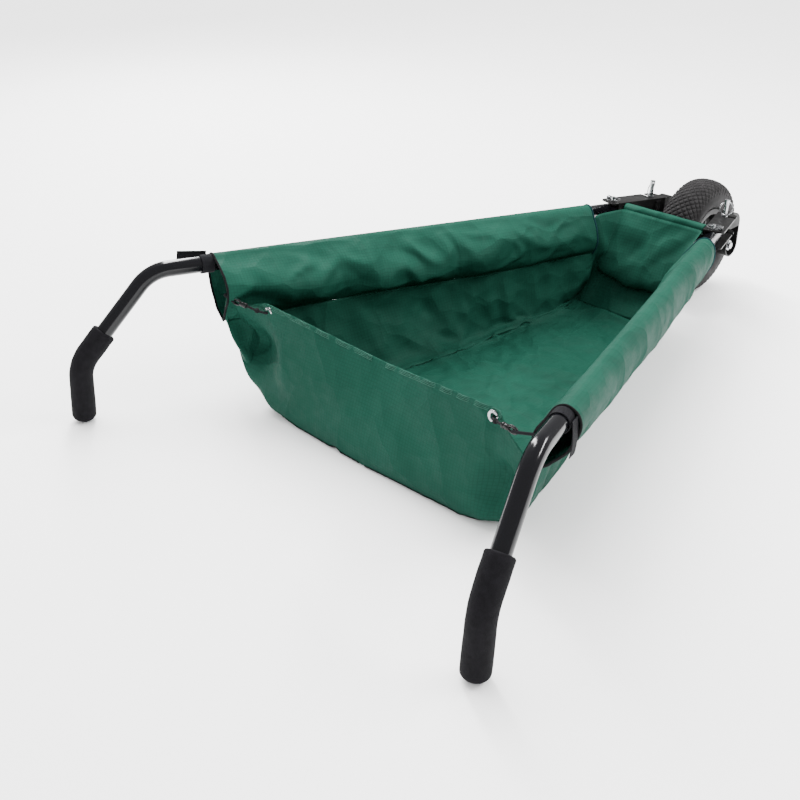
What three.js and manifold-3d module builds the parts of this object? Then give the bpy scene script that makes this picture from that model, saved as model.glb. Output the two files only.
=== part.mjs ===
// A folding one-wheel garden and camp barrow: a fabric tub slung between two bent steel arms
// that meet at a two-armed fork with a pneumatic wheel. Millimetres, +Z up, +Y towards the wheel.
// The origin is on the floor, under the middle of the whole object.
import * as THREE from "three";
import { mergeVertices } from "three/addons/utils/BufferGeometryUtils.js";
import Module from "manifold-3d";

const wasm = await Module();
wasm.setup();

// ---- driving dimensions -------------------------------------------------------------------
const GAP = 0.35; // clearance between touching pieces

const WHEEL_R = 110; // a 2.80/2.50-4 pneumatic tyre
const WHEEL_HALF_W = 35;
const AXLE_Y = 513;
const AXLE_R = 6;

const TUBE_R = 12.7; // one-inch steel tube
const TUBE_WALL = 1.6;
const GRIP_R = 18.5;

// Both arms lie in one plane that falls towards the wheel.
const PLANE_Y = 466; // the plane's reference point is midway between the two lock pins
const PLANE_Z = 165;
const PLANE_PITCH = THREE.MathUtils.degToRad(3.508);
const ARM_YAW = THREE.MathUtils.degToRad(16.85); // each arm splays this much from the centre line

const LOCK_X = 79; // lock pin, from the centre line
const LOCK_TO_PIVOT = 93; // along the arm
const TUBE_FRONT = 107; // tube end, ahead of the pivot
const SLEEVE_FRONT = -59.7; // stations along the arm, from the pivot
const SLEEVE_REAR = -797.7;
const BEND_AT = -897.3;
const BEND_DROP = THREE.MathUtils.degToRad(49); // the handle turns down by this much
const BEND_RUN = 178; // between the two bends
const GRIP_DROP = THREE.MathUtils.degToRad(89); // the grip stands almost upright
const GRIP_FROM_BEND = 62; // how far above the lower bend the foam starts
const BEND_R = 62;
const GRIP_DOME = 12;

const PLATE_T = 2.5; // bracket plates
const PLATE_IN = 13.4; // half the space between the plates
const DROP_X = 60; // inner face of the fork's drop plates
const DROP_T = 3;
const FLANGE_W = 20;

const PIN_R = 4;
const RING_R = 12; // finger rings, to the middle of the wire
const RING_WIRE = 1.2;

const BRIDGE_Y = 392;
const BRIDGE_Z = 175;
const BRIDGE_R = 8;

const FABRIC = 2; // fabric panels
const FLOOR_REAR = { x: 245, y: -368 };
const FLOOR_FRONT = { x: 90, y: 303 };
const FLOOR_Z = 1;
const FLAP_Y = -371;
const FLAP_TOP = { x: 232, z: 176 };
const EYELET = { x: 222, z: 164, r: 9 };

// ---- helpers ------------------------------------------------------------------------------
function solid(geometry) {
  const bare = geometry.index ? geometry.toNonIndexed() : geometry.clone();
  for (const name of Object.keys(bare.attributes)) {
    if (name !== "position") bare.deleteAttribute(name);
  }
  const merged = mergeVertices(bare, 1e-3);
  const index = merged.index.array;
  const triangles = [];
  for (let i = 0; i < index.length; i += 3) {
    const [a, b, c] = index.slice(i, i + 3);
    if (a !== b && b !== c && c !== a) triangles.push(a, b, c);
  }
  return new wasm.Manifold(
    new wasm.Mesh({
      numProp: 3,
      vertProperties: merged.attributes.position.array,
      triVerts: new Uint32Array(triangles),
    }),
  );
}

function geometryOf(manifold) {
  const mesh = manifold.getMesh();
  const geometry = new THREE.BufferGeometry();
  geometry.setAttribute("position", new THREE.BufferAttribute(mesh.vertProperties, 3));
  geometry.setIndex(new THREE.BufferAttribute(mesh.triVerts, 1));
  geometry.computeVertexNormals();
  return geometry;
}

function join(...geometries) {
  return geometryOf(geometries.map(solid).reduce((whole, piece) => whole.add(piece)));
}

function cut(geometry, ...tools) {
  return geometryOf(tools.map(solid).reduce((whole, tool) => whole.subtract(tool), solid(geometry)));
}

function box(x0, x1, y0, y1, z0, z1) {
  const geometry = new THREE.BoxGeometry(x1 - x0, y1 - y0, z1 - z0);
  return geometry.translate((x0 + x1) / 2, (y0 + y1) / 2, (z0 + z1) / 2);
}

// A cylinder along "x", "y" or "z" from one station to another.
function rod(axis, radius, from, to, segments = 16, at = [0, 0]) {
  const geometry = new THREE.CylinderGeometry(radius, radius, to - from, segments);
  geometry.translate(0, (from + to) / 2, 0);
  if (axis === "x") return geometry.rotateZ(-Math.PI / 2).translate(0, at[0], at[1]);
  if (axis === "z") return geometry.rotateX(Math.PI / 2).translate(at[0], at[1], 0);
  return geometry.translate(at[0], 0, at[1]);
}

// A body of revolution about the x axis, from [x, radius] pairs that close on themselves.
function turned(profile, segments) {
  const points = profile.map(([x, r]) => new THREE.Vector2(r, x));
  points.push(points[0].clone());
  return new THREE.LatheGeometry(points, segments).rotateZ(-Math.PI / 2);
}

// A sheet between four corners, taken anticlockwise as seen from the side it is thickened towards.
function slab(corners, across) {
  const half = across.clone().multiplyScalar(0.5);
  const points = corners.map((corner) => new THREE.Vector3(...corner));
  const back = points.map((point) => point.clone().sub(half));
  const face = points.map((point) => point.clone().add(half));
  const geometry = new THREE.BufferGeometry().setFromPoints([...back, ...face]);
  const index = [0, 2, 1, 0, 3, 2, 4, 5, 6, 4, 6, 7];
  for (let i = 0; i < 4; i += 1) {
    const next = (i + 1) % 4;
    index.push(i, next, next + 4, i, next + 4, i + 4);
  }
  geometry.setIndex(index);
  geometry.computeVertexNormals();
  return geometry;
}

// A route of straight runs and arcs whose stations are exactly its listed points.
class Route extends THREE.Curve {
  constructor(points) {
    super();
    this.points = points;
  }
  getPoint(t, target = new THREE.Vector3()) {
    const at = t * (this.points.length - 1);
    const i = Math.min(Math.floor(at), this.points.length - 2);
    return target.copy(this.points[i]).lerp(this.points[i + 1], at - i);
  }
  getPointAt(u, target) {
    return this.getPoint(u, target);
  }
  getTangentAt(u, target = new THREE.Vector3()) {
    const i = Math.round(u * (this.points.length - 1));
    const before = this.points[Math.max(i - 1, 0)];
    const here = this.points[i];
    const after = this.points[Math.min(i + 1, this.points.length - 1)];
    const into = here.clone().sub(before).normalize();
    const out = after.clone().sub(here).normalize();
    return target.copy(into).add(out).normalize();
  }
}

function circle(radius, segments) {
  const shape = new THREE.Shape();
  for (let i = 0; i <= segments; i += 1) {
    const a = (2 * Math.PI * i) / segments;
    const [x, y] = [radius * Math.cos(a), radius * Math.sin(a)];
    if (i === 0) shape.moveTo(x, y);
    else shape.lineTo(x, y);
  }
  return shape;
}

function sweep(points, shape) {
  const route = new Route(points);
  return new THREE.ExtrudeGeometry(shape, { steps: points.length - 1, extrudePath: route });
}

// Replaces the corners of a polyline by arcs of one radius.
function filleted(corners, radius, pieces) {
  const points = [corners[0]];
  for (let i = 1; i < corners.length - 1; i += 1) {
    const into = corners[i].clone().sub(corners[i - 1]).normalize();
    const out = corners[i + 1].clone().sub(corners[i]).normalize();
    const turn = into.angleTo(out);
    const start = corners[i].clone().addScaledVector(into, -radius * Math.tan(turn / 2));
    const inward = out.clone().sub(into.clone().multiplyScalar(into.dot(out))).normalize();
    const centre = start.clone().addScaledVector(inward, radius);
    for (let k = 0; k <= pieces; k += 1) {
      const a = (turn * k) / pieces;
      points.push(
        centre
          .clone()
          .addScaledVector(inward, -radius * Math.cos(a))
          .addScaledVector(into, radius * Math.sin(a)),
      );
    }
  }
  points.push(corners[corners.length - 1]);
  return points;
}

function hexPrism(axis, acrossFlats, from, to, hole = 0) {
  const prism = rod(axis, acrossFlats / Math.sqrt(3), from, to, 6);
  return hole ? cut(prism, rod(axis, hole, from - 1, to + 1, 16)) : prism;
}

function ring() {
  return new THREE.TorusGeometry(RING_R, RING_WIRE, 8, 28);
}

// ---- materials ----------------------------------------------------------------------------
const finish = (color, roughness, metalness) =>
  new THREE.MeshStandardMaterial({ color, roughness, metalness });
const blackPaint = finish(0x121214, 0.25, 0.3);
const bracketPaint = finish(0x1a1a1c, 0.4, 0.3);
const rubber = finish(0x2b2829, 0.85, 0);
const foam = finish(0x1d1b20, 0.95, 0);
const zinc = finish(0xc9ced2, 0.25, 1);
const cloth = finish(0x2f6f5a, 0.7, 0);
const webbing = finish(0x121217, 0.85, 0);
const blackPlastic = finish(0x15141a, 0.5, 0);

function add(group, name, geometry, material) {
  const mesh = new THREE.Mesh(geometry, material);
  mesh.name = name;
  group.add(mesh);
  return mesh;
}

const wagon = new THREE.Group();

// ---- wheel, on its own axle group ---------------------------------------------------------
const wheel = new THREE.Group();
wheel.position.set(0, AXLE_Y, WHEEL_R);
wagon.add(wheel);

const BEAD_R = 52;
const RIM_BASE_R = 49.5;
const HUB_R = 19.5;
const BEARING_R = 17.2;
const HUB_HALF = 29;
const BEARING_W = 11;

function tyre() {
  const half = WHEEL_HALF_W;
  const outside = [
    [26.6, BEAD_R],
    [26.6, 60.4],
    [31, 62.5],
    [half - 1, 69],
    [half, 82],
    [half - 4, 98],
    [20, WHEEL_R - 2.5],
    [7, WHEEL_R],
  ];
  const inside = [
    [7, 103],
    [18, 100.5],
    [27, 93],
    [31, 82],
    [30, 71],
    [22.5, 63],
    [22.5, BEAD_R],
  ];
  const mirrored = (list) => list.map(([x, r]) => [-x, r]);
  const profile = [
    ...mirrored(outside),
    ...outside.slice().reverse(),
    ...inside.slice().reverse(),
    ...mirrored(inside),
  ];
  return turned(profile, 48);
}

function innerTube() {
  // An air tube whose inner side is left open by a narrow slit, so that it isn't a sealed hollow.
  const centre = 79;
  const wall = 1.5;
  const steps = 10;
  const slit = 0.2;
  const arc = (dx, dr) =>
    Array.from({ length: steps + 1 }, (_, i) => {
      const a = -Math.PI / 2 + slit + ((2 * Math.PI - 2 * slit) * i) / steps;
      return [dx * Math.cos(a), centre + dr * Math.sin(a)];
    });
  return turned([...arc(26, 20).reverse(), ...arc(26 - wall, 20 - wall)], 32);
}

function rimHalf() {
  // The disc in the middle of the wheel, the seat under the tyre bead and the flange beside it.
  const t = 2;
  const half = [
    [GAP / 2, HUB_R + GAP],
    [GAP / 2, RIM_BASE_R],
    [27, RIM_BASE_R + 1],
    [27, 60],
    [29.6, 60],
    [29.6, RIM_BASE_R - 1],
    [GAP / 2 + t + 2, RIM_BASE_R - t],
    [GAP / 2 + t, RIM_BASE_R - t - 2],
    [GAP / 2 + t, HUB_R + GAP],
  ];
  return turned(half, 40);
}

const BOLT_CIRCLE = 31;
const BOLT_R = 3;
const BOLT_HOLE = BOLT_R + GAP;

function boltPlace(i) {
  const a = Math.PI / 4 + (Math.PI / 2) * i;
  return [BOLT_CIRCLE * Math.cos(a), BOLT_CIRCLE * Math.sin(a)];
}

const VALVE = { x: 16, r: 3.4, from: 35, to: 57 };
const boltHoles = [0, 1, 2, 3].map((i) => rod("x", BOLT_HOLE, -10, 10, 12, boltPlace(i)));
const valveHole = rod("z", VALVE.r + GAP, VALVE.from, VALVE.to + 3, 12, [VALVE.x, 0]);

add(wheel, "tyre", tyre(), rubber);
add(wheel, "inner_tube", innerTube(), rubber);
add(wheel, "rim_half_right", cut(rimHalf(), ...boltHoles, valveHole), bracketPaint);
add(
  wheel,
  "rim_half_left",
  cut(rimHalf().rotateY(Math.PI), ...boltHoles),
  bracketPaint,
);
add(
  wheel,
  "hub_tube",
  turned(
    [
      [-HUB_HALF, HUB_R],
      [HUB_HALF, HUB_R],
      [HUB_HALF, BEARING_R + GAP],
      [-HUB_HALF, BEARING_R + GAP],
    ],
    32,
  ),
  bracketPaint,
);
for (const [side, name] of [
  [1, "right"],
  [-1, "left"],
]) {
  const inner = HUB_HALF - 0.5 - BEARING_W;
  const bearing = turned(
    [
      [inner, BEARING_R],
      [inner + BEARING_W, BEARING_R],
      [inner + BEARING_W, AXLE_R + 4.2],
      [inner + BEARING_W + 0.4, AXLE_R + 4.2],
      [inner + BEARING_W + 0.4, AXLE_R + 0.2],
      [inner, AXLE_R + 0.2],
    ],
    28,
  );
  if (side < 0) bearing.rotateY(Math.PI);
  add(wheel, `wheel_bearing_${name}`, bearing, zinc);
}
for (let i = 0; i < 4; i += 1) {
  const [y, z] = boltPlace(i);
  const bolt = join(rod("x", BOLT_R, -3.6, 9, 12), hexPrism("x", 10, -7.2, -3));
  const nut = hexPrism("x", 10, 2.9, 7.4, BOLT_R + 0.3);
  add(wheel, `rim_bolt_${i + 1}`, bolt, zinc).position.set(0, y, z);
  add(wheel, `rim_nut_${i + 1}`, nut, zinc).position.set(0, y, z);
}
const stem = rod("z", VALVE.r, VALVE.from, VALVE.to, 12, [VALVE.x, 0]);
add(wheel, "valve_stem", stem, rubber);
add(wheel, "valve_cap", rod("z", 4.2, VALVE.from - 9, VALVE.from - GAP, 10, [VALVE.x, 0]), blackPlastic);

// ---- axle, held by the fork ---------------------------------------------------------------
const axle = new THREE.Group();
axle.position.copy(wheel.position);
wagon.add(axle);
const plateOut = DROP_X + DROP_T;
add(
  axle,
  "axle_bolt",
  join(
    rod("x", AXLE_R, -plateOut - 1, plateOut + 16, 20),
    hexPrism("x", 18, -plateOut - 8, -plateOut - GAP),
  ),
  zinc,
);
add(axle, "axle_nut", hexPrism("x", 18, plateOut + 2.2, plateOut + 12, AXLE_R + 0.3), zinc);
add(
  axle,
  "axle_washer",
  cut(
    rod("x", 11.5, plateOut + GAP, plateOut + 2.2 - GAP, 24),
    rod("x", AXLE_R + 0.4, plateOut - 1, plateOut + 4, 20),
  ),
  zinc,
);
const bearingOut = HUB_HALF - 0.5 + 0.4;
const spacer = turned(
  [
    [bearingOut + GAP, 9.6],
    [DROP_X - GAP, 9.6],
    [DROP_X - GAP, AXLE_R + 0.3],
    [bearingOut + GAP, AXLE_R + 0.3],
  ],
  20,
);
add(axle, "axle_spacer_right", spacer, zinc);
add(axle, "axle_spacer_left", spacer.clone().rotateY(Math.PI), zinc);

// ---- the frame's plane and the two mirrored sides -----------------------------------------
const PIVOT_X = LOCK_X + LOCK_TO_PIVOT * Math.sin(ARM_YAW);
const PIVOT_V = -LOCK_TO_PIVOT * Math.cos(ARM_YAW);

function inPlane(scaleX) {
  const mirror = new THREE.Group();
  mirror.scale.x = scaleX;
  const plane = new THREE.Group();
  plane.position.set(0, PLANE_Y, PLANE_Z);
  plane.rotation.x = -PLANE_PITCH;
  const along = new THREE.Group();
  along.position.set(PIVOT_X, PIVOT_V, 0);
  along.rotation.z = ARM_YAW;
  plane.add(along);
  mirror.add(plane);
  wagon.add(mirror);
  wagon.updateMatrixWorld(true);
  return { mirror, plane, along };
}

// Handle centreline in the arm's own frame: -Y runs back along the tube.
const FIRST_BEND = new THREE.Vector3(0, BEND_AT, 0);
const SECOND_BEND = new THREE.Vector3(
  0,
  BEND_AT - BEND_RUN * Math.cos(BEND_DROP),
  -BEND_RUN * Math.sin(BEND_DROP),
);
const gripWay = new THREE.Vector3(0, -Math.cos(GRIP_DROP), -Math.sin(GRIP_DROP));

// The grip's end is placed so that the foam's dome just meets the floor.
function gripEnd(along) {
  const tilt = GRIP_DROP - PLANE_PITCH;
  const lowest = Math.hypot(GRIP_DOME * Math.sin(tilt), GRIP_R * Math.cos(tilt));
  const bend = SECOND_BEND.clone().applyMatrix4(along.matrixWorld);
  return SECOND_BEND.clone().addScaledVector(gripWay, (bend.z - lowest) / Math.sin(tilt));
}

function annulus(outer, inner, segments) {
  const shape = circle(outer, segments);
  shape.holes.push(circle(inner, segments));
  return shape;
}

function armTube(end) {
  const stop = end.clone().addScaledVector(gripWay, -6);
  const corners = [new THREE.Vector3(0, TUBE_FRONT, 0), FIRST_BEND, SECOND_BEND, stop];
  const tube = sweep(filleted(corners, BEND_R, 6), annulus(TUBE_R, TUBE_R - TUBE_WALL, 20));
  const hole = PIN_R + GAP;
  return cut(
    tube,
    rod("z", hole, -20, 20, 14),
    rod("z", hole, -20, 20, 14, [0, LOCK_TO_PIVOT]),
  );
}

function foamGrip(end) {
  const into = SECOND_BEND.clone().sub(FIRST_BEND).normalize();
  const start = SECOND_BEND.clone().addScaledVector(into, -GRIP_FROM_BEND);
  const outside = filleted([start, SECOND_BEND, end], BEND_R, 6);
  const dome = new THREE.SphereGeometry(GRIP_R, 20, 10);
  dome.scale(1, 1, GRIP_DOME / GRIP_R);
  dome.rotateX(-(Math.PI / 2 - GRIP_DROP));
  dome.translate(end.x, end.y, end.z);
  const bore_start = start.clone().addScaledVector(into, -5);
  const bore_end = end.clone().addScaledVector(gripWay, -5);
  const bore = filleted([bore_start, SECOND_BEND, bore_end], BEND_R, 6);
  return cut(join(sweep(outside, circle(GRIP_R, 20)), dome), sweep(bore, circle(TUBE_R + GAP, 20)));
}

// The fabric sleeve's section: a deep slack pocket over the tube. Its two faces meet at a seam low
// on the inboard side, where the tub's wall hangs on.
const SLEEVE_SEAM = { x: -36, y: -77 };

function sleeveOutline() {
  const radius = TUBE_R + GAP + FABRIC;
  const from = THREE.MathUtils.degToRad(-25);
  const to = THREE.MathUtils.degToRad(128);
  const steps = 9;
  const points = [[SLEEVE_SEAM.x, SLEEVE_SEAM.y], [-12, -67], [6, -48], [15, -24]];
  for (let i = 0; i <= steps; i += 1) {
    const a = from + ((to - from) * i) / steps;
    points.push([radius * Math.cos(a), radius * Math.sin(a)]);
  }
  points.push([-40, -12], [-52, -30], [-53, -50]);
  return points.map(([x, y]) => new THREE.Vector2(x, y));
}

// Moves each edge of an anticlockwise outline inwards.
function shrunk(points, inset) {
  return points.map((point, i) => {
    const before = points[(i + points.length - 1) % points.length];
    const after = points[(i + 1) % points.length];
    const into = point.clone().sub(before).normalize();
    const out = after.clone().sub(point).normalize();
    const inward = new THREE.Vector2(-into.y - out.y, into.x + out.x);
    return point.clone().addScaledVector(inward, inset / (1 + into.dot(out)));
  });
}

function sleeve() {
  const outline = sleeveOutline();
  const shape = new THREE.Shape(outline);
  shape.holes.push(new THREE.Path(shrunk(outline, FABRIC)));
  const body = new THREE.ExtrudeGeometry(shape, {
    depth: SLEEVE_FRONT - SLEEVE_REAR,
    steps: 1,
    bevelEnabled: false,
  });
  return body.rotateX(Math.PI / 2).translate(0, SLEEVE_FRONT, 0);
}

function strap(tail) {
  const from = SLEEVE_REAR - GAP - 20;
  const to = SLEEVE_REAR - GAP;
  const band = cut(
    rod("y", TUBE_R + GAP + 1.6, from, to, 24),
    rod("y", TUBE_R + GAP, from - 1, to + 1, 24),
  );
  return join(band, tail);
}

// Slot for the lock pin: it opens outwards along the pin's own arc about the pivot.
function lockSlot() {
  const half = PIN_R + GAP + 0.3;
  const sweepAngle = ARM_YAW * 1.3;
  const shape = new THREE.Shape();
  const along = Math.PI / 2;
  shape.absarc(0, 0, LOCK_TO_PIVOT + half, along - sweepAngle, along, false);
  shape.absarc(0, LOCK_TO_PIVOT, half, Math.PI / 2, (3 * Math.PI) / 2, false);
  shape.absarc(0, 0, LOCK_TO_PIVOT - half, along, along - sweepAngle, true);
  const slot = new THREE.ExtrudeGeometry(shape, { depth: 60, bevelEnabled: false, curveSegments: 10 });
  return slot.translate(0, 0, -30);
}

const BRACKET_REAR = -12;
const BRACKET_FRONT = LOCK_TO_PIVOT + 24;
const BRACKET_OUT = 21;
const BRACKET_IN = -PLATE_IN - PLATE_T;

// The channel that holds the tube's front end: two plates and an inner flange, open outwards.
function channel() {
  const outer = PLATE_IN + PLATE_T;
  const plate = (z0, z1) => {
    const shape = new THREE.Shape();
    const nose = 16;
    shape.moveTo(BRACKET_IN, BRACKET_REAR);
    shape.lineTo(BRACKET_OUT - 6, BRACKET_REAR);
    shape.absarc(BRACKET_OUT - 6, BRACKET_REAR + 6, 6, -Math.PI / 2, 0, false);
    shape.absarc(BRACKET_OUT - nose, BRACKET_FRONT - nose, nose, 0, Math.PI / 2, false);
    shape.lineTo(BRACKET_IN, BRACKET_FRONT);
    shape.closePath();
    const geometry = new THREE.ExtrudeGeometry(shape, {
      depth: z1 - z0,
      bevelEnabled: false,
      curveSegments: 6,
    });
    return geometry.translate(0, 0, z0);
  };
  const flange = box(BRACKET_IN, -PLATE_IN, 2, BRACKET_FRONT, -outer, outer);
  return join(plate(PLATE_IN, outer), plate(-outer, -PLATE_IN), flange);
}

// The fork's drop, seen from the side: from the channel's nose down to the axle.
const BOSS_R = 21;
const DROP_TOP = PLANE_Z + PLATE_IN + PLATE_T - 4;

function dropOutline(inset) {
  const shape = new THREE.Shape();
  const boss = BOSS_R - inset;
  const nose = 26 - inset;
  const front = AXLE_Y + BOSS_R - 2 - inset;
  const rear = AXLE_Y - 52 + inset;
  const top = DROP_TOP - inset;
  shape.moveTo(rear, top);
  shape.lineTo(front - nose, top);
  shape.absarc(front - nose, top - nose, nose, Math.PI / 2, 0, true);
  shape.lineTo(AXLE_Y + boss, WHEEL_R);
  shape.absarc(AXLE_Y, WHEEL_R, boss, 0, -Math.PI, true);
  shape.lineTo(AXLE_Y - boss, WHEEL_R + 22);
  shape.lineTo(rear, DROP_TOP - 30 + inset);
  shape.closePath();
  return shape;
}

function fromSide(shape, x0, x1) {
  const geometry = new THREE.ExtrudeGeometry(shape, {
    depth: x1 - x0,
    bevelEnabled: false,
    curveSegments: 8,
  });
  // Turns the drawing's axes (y, z) and the extrusion's depth into (y, z) and x.
  const basis = new THREE.Matrix4().makeBasis(
    new THREE.Vector3(0, 1, 0),
    new THREE.Vector3(0, 0, 1),
    new THREE.Vector3(1, 0, 0),
  );
  return geometry.applyMatrix4(basis).translate(x0, 0, 0);
}

function drop() {
  const solidDrop = fromSide(dropOutline(0), DROP_X, DROP_X + FLANGE_W);
  const underChannel = box(DROP_X, DROP_X + 2 * FLANGE_W, 0, 2 * AXLE_Y, DROP_TOP - 30, 2 * DROP_TOP);
  const hollow = cut(
    fromSide(dropOutline(PLATE_T), DROP_X + DROP_T, DROP_X + FLANGE_W + 1),
    underChannel,
  );
  const axleHole = rod("x", AXLE_R + 0.3, DROP_X - 5, DROP_X + 10, 20, [AXLE_Y, WHEEL_R]);
  return cut(solidDrop, hollow, axleHole);
}

function forkArm(along) {
  const placed = (geometry) => geometry.applyMatrix4(along.matrixWorld);
  const hole = PIN_R + GAP;
  const tubeRoom = placed(rod("y", TUBE_R + 0.7, BRACKET_REAR - 1, TUBE_FRONT + 3, 24));
  const swing = new THREE.Shape();
  const reach = TUBE_FRONT + 4;
  swing.moveTo(0, 20);
  swing.lineTo(0, reach);
  swing.absarc(0, 0, reach, Math.PI / 2, Math.PI / 2 - ARM_YAW * 1.5, true);
  swing.lineTo(20, 20);
  swing.closePath();
  const swingRoom = placed(
    new THREE.ExtrudeGeometry(swing, { depth: 2 * PLATE_IN, bevelEnabled: false, curveSegments: 6 })
      .translate(0, 0, -PLATE_IN),
  );
  return cut(
    join(placed(channel()), drop()),
    tubeRoom,
    swingRoom,
    placed(rod("z", hole, -30, 30, 14)),
    placed(lockSlot()),
  );
}

// The lock pin stands proud of the plates. Its finger ring hangs through a hole in its head.
const PLATE_TOP = PLATE_IN + PLATE_T;
const LOCK_HEAD = PLATE_TOP + 31;
const LOCK_HOLE_Z = LOCK_HEAD - 4;
const RING_TURN = THREE.MathUtils.degToRad(28); // the head's hole, from the bracket's cross line
const RING_LEAN = THREE.MathUtils.degToRad(13); // the ring rests on the shank
const RING_HOLE_R = 2.5;

function lockRing() {
  const geometry = ring().rotateX(Math.PI / 2).translate(0, 0, -RING_R);
  geometry.rotateX(-RING_LEAN).rotateZ(RING_TURN);
  return geometry.translate(0, LOCK_TO_PIVOT, LOCK_HOLE_Z);
}

function lockPin() {
  const at = [0, LOCK_TO_PIVOT];
  const headHole = rod("x", RING_HOLE_R, -9, 9, 12).rotateZ(RING_TURN);
  headHole.translate(0, LOCK_TO_PIVOT, LOCK_HOLE_Z);
  const body = join(
    rod("z", PIN_R, -PLATE_TOP - 8, LOCK_HEAD - 2, 16, at),
    rod("z", PIN_R + 0.8, LOCK_HEAD - 9, LOCK_HEAD, 16, at),
    rod("z", PIN_R + 2.2, PLATE_TOP + GAP, PLATE_TOP + 1.8, 16, at),
  );
  return cut(body, headHole);
}

// The pivot pin is headed below and held above by a cross clip, whose ring lies on the plate.
const CLIP_Z = PLATE_TOP + 4.4;
const CLIP_R = 1.9;

function pivotPin() {
  const body = join(
    rod("z", PIN_R, -PLATE_TOP - 2, PLATE_TOP + 8.5, 16),
    rod("z", PIN_R + 3.5, -PLATE_TOP - 4.5, -PLATE_TOP - GAP, 20),
  );
  return cut(body, rod("x", CLIP_R + GAP, -12, 12, 10, [0, CLIP_Z]));
}

function clipRing() {
  return ring().translate(0, 0, CLIP_Z);
}

function pivotClip() {
  const body = join(
    rod("x", CLIP_R, -8, RING_R - 1, 10, [0, CLIP_Z]),
    rod("x", 4, RING_R - 3.5, RING_R + 3.5, 12, [0, CLIP_Z]),
  );
  return cut(body, rod("y", RING_HOLE_R, -9, 9, 12, [RING_R, CLIP_Z]));
}

// Straps hold the sleeves' rear ends to the tubes. Their free tails lie differently left and right.
function strapTail(name) {
  const from = SLEEVE_REAR - GAP;
  const outside = TUBE_R + GAP + 1;
  if (name === "left") return box(outside, outside + 1.6, from - 46, from, -6, 13);
  return box(outside, outside + 1.6, from - 20, from, -44, 4);
}

function hookLoop() {
  // A small webbing tab at the sleeve's mouth, low on its inboard face, for the cord's hook.
  const y = SLEEVE_REAR - GAP;
  const [left, right, bottom, top] = [-53, -46, -47, -27];
  return cut(
    box(left, right, y - 11, y, bottom, top),
    rod("x", 2.8, left - 2, right + 2, 12, [y - 6, bottom + 6]),
  );
}

function buildSide(scaleX, name) {
  const { mirror, along } = inPlane(scaleX);
  const unmirrored = along.matrixWorld.clone().premultiply(new THREE.Matrix4().makeScale(scaleX, 1, 1));
  const frame = { matrixWorld: unmirrored };
  const end = gripEnd(along);
  add(along, `arm_tube_${name}`, armTube(end), blackPaint);
  add(along, `foam_grip_${name}`, foamGrip(end), foam);
  const plug = join(
    rod("y", TUBE_R, TUBE_FRONT + GAP, TUBE_FRONT + 2, 20),
    rod("y", TUBE_R - TUBE_WALL - GAP, TUBE_FRONT - 8, TUBE_FRONT + 1.5, 20),
  );
  add(along, `tube_plug_${name}`, plug, blackPlastic);
  add(along, `sleeve_${name}`, sleeve(), cloth);
  add(along, `sleeve_strap_${name}`, strap(strapTail(name)), webbing);
  add(along, `hook_loop_${name}`, hookLoop(), webbing);
  add(along, `lock_pin_${name}`, lockPin(), zinc);
  add(along, `lock_pin_ring_${name}`, lockRing(), zinc);
  add(along, `pivot_pin_${name}`, pivotPin(), zinc);
  add(along, `pivot_clip_${name}`, pivotClip(), zinc);
  add(along, `pivot_clip_ring_${name}`, clipRing(), zinc);
  add(mirror, `fork_arm_${name}`, forkArm(frame), bracketPaint);
  add(mirror, `side_panel_${name}`, sidePanel(), cloth);
  add(mirror, `flap_eyelet_${name}`, eyelet(), zinc);
  add(mirror, `flap_cord_${name}`, flapCord(), webbing);
  add(mirror, `flap_hook_${name}`, flapHook(), blackPlastic);
}

// ---- tub ----------------------------------------------------------------------------------
// The tube's centreline over the tub, as x and z at a given y.
function tubeAt(y) {
  const back = (PLANE_Y - y) / Math.cos(PLANE_PITCH);
  return { x: LOCK_X + back * Math.tan(ARM_YAW), z: PLANE_Z + back * Math.sin(PLANE_PITCH) };
}

function sidePanel() {
  const lower = FLOOR_Z + FABRIC / 2;
  const [rear, front] = [FLOOR_REAR.y + 2, FLOOR_FRONT.y - 1];
  const [topRear, topFront] = [tubeAt(rear), tubeAt(front)];
  const drop = 4 - SLEEVE_SEAM.y;
  const lean = 1 - SLEEVE_SEAM.x / Math.cos(ARM_YAW);
  return slab(
    [
      [FLOOR_REAR.x + 2, rear, lower],
      [FLOOR_FRONT.x + 2, front, lower],
      [topFront.x - lean, front, topFront.z - drop],
      [topRear.x - lean, rear, topRear.z - drop],
    ],
    new THREE.Vector3(FABRIC, 0, 0),
  );
}

function floorPanel() {
  const z = FLOOR_Z + FABRIC / 2;
  return slab(
    [
      [-FLOOR_REAR.x, FLOOR_REAR.y, z],
      [FLOOR_REAR.x, FLOOR_REAR.y, z],
      [FLOOR_FRONT.x, FLOOR_FRONT.y, z],
      [-FLOOR_FRONT.x, FLOOR_FRONT.y, z],
    ],
    new THREE.Vector3(0, 0, FABRIC),
  );
}

function frontPanel() {
  const [y, z] = [FLOOR_FRONT.y + 3, FLOOR_Z + FABRIC];
  const top = { x: 84, y: BRIDGE_Y - 8.5, z: BRIDGE_Z - 12 };
  return slab(
    [
      [-FLOOR_FRONT.x, y, z],
      [FLOOR_FRONT.x, y, z],
      [top.x, top.y, top.z],
      [-top.x, top.y, top.z],
    ],
    new THREE.Vector3(0, -FABRIC, 0),
  );
}

function rearFlap() {
  const z = FLOOR_Z + FABRIC;
  const panel = slab(
    [
      [-FLOOR_REAR.x + 3, FLAP_Y, z],
      [FLOOR_REAR.x - 3, FLAP_Y, z],
      [FLAP_TOP.x, FLAP_Y, FLAP_TOP.z],
      [-FLAP_TOP.x, FLAP_Y, FLAP_TOP.z],
    ],
    new THREE.Vector3(0, -FABRIC, 0),
  );
  const hole = (side) => rod("y", EYELET.r + GAP, FLAP_Y - 5, FLAP_Y + 5, 20, [side * EYELET.x, EYELET.z]);
  return cut(panel, hole(1), hole(-1));
}

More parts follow.
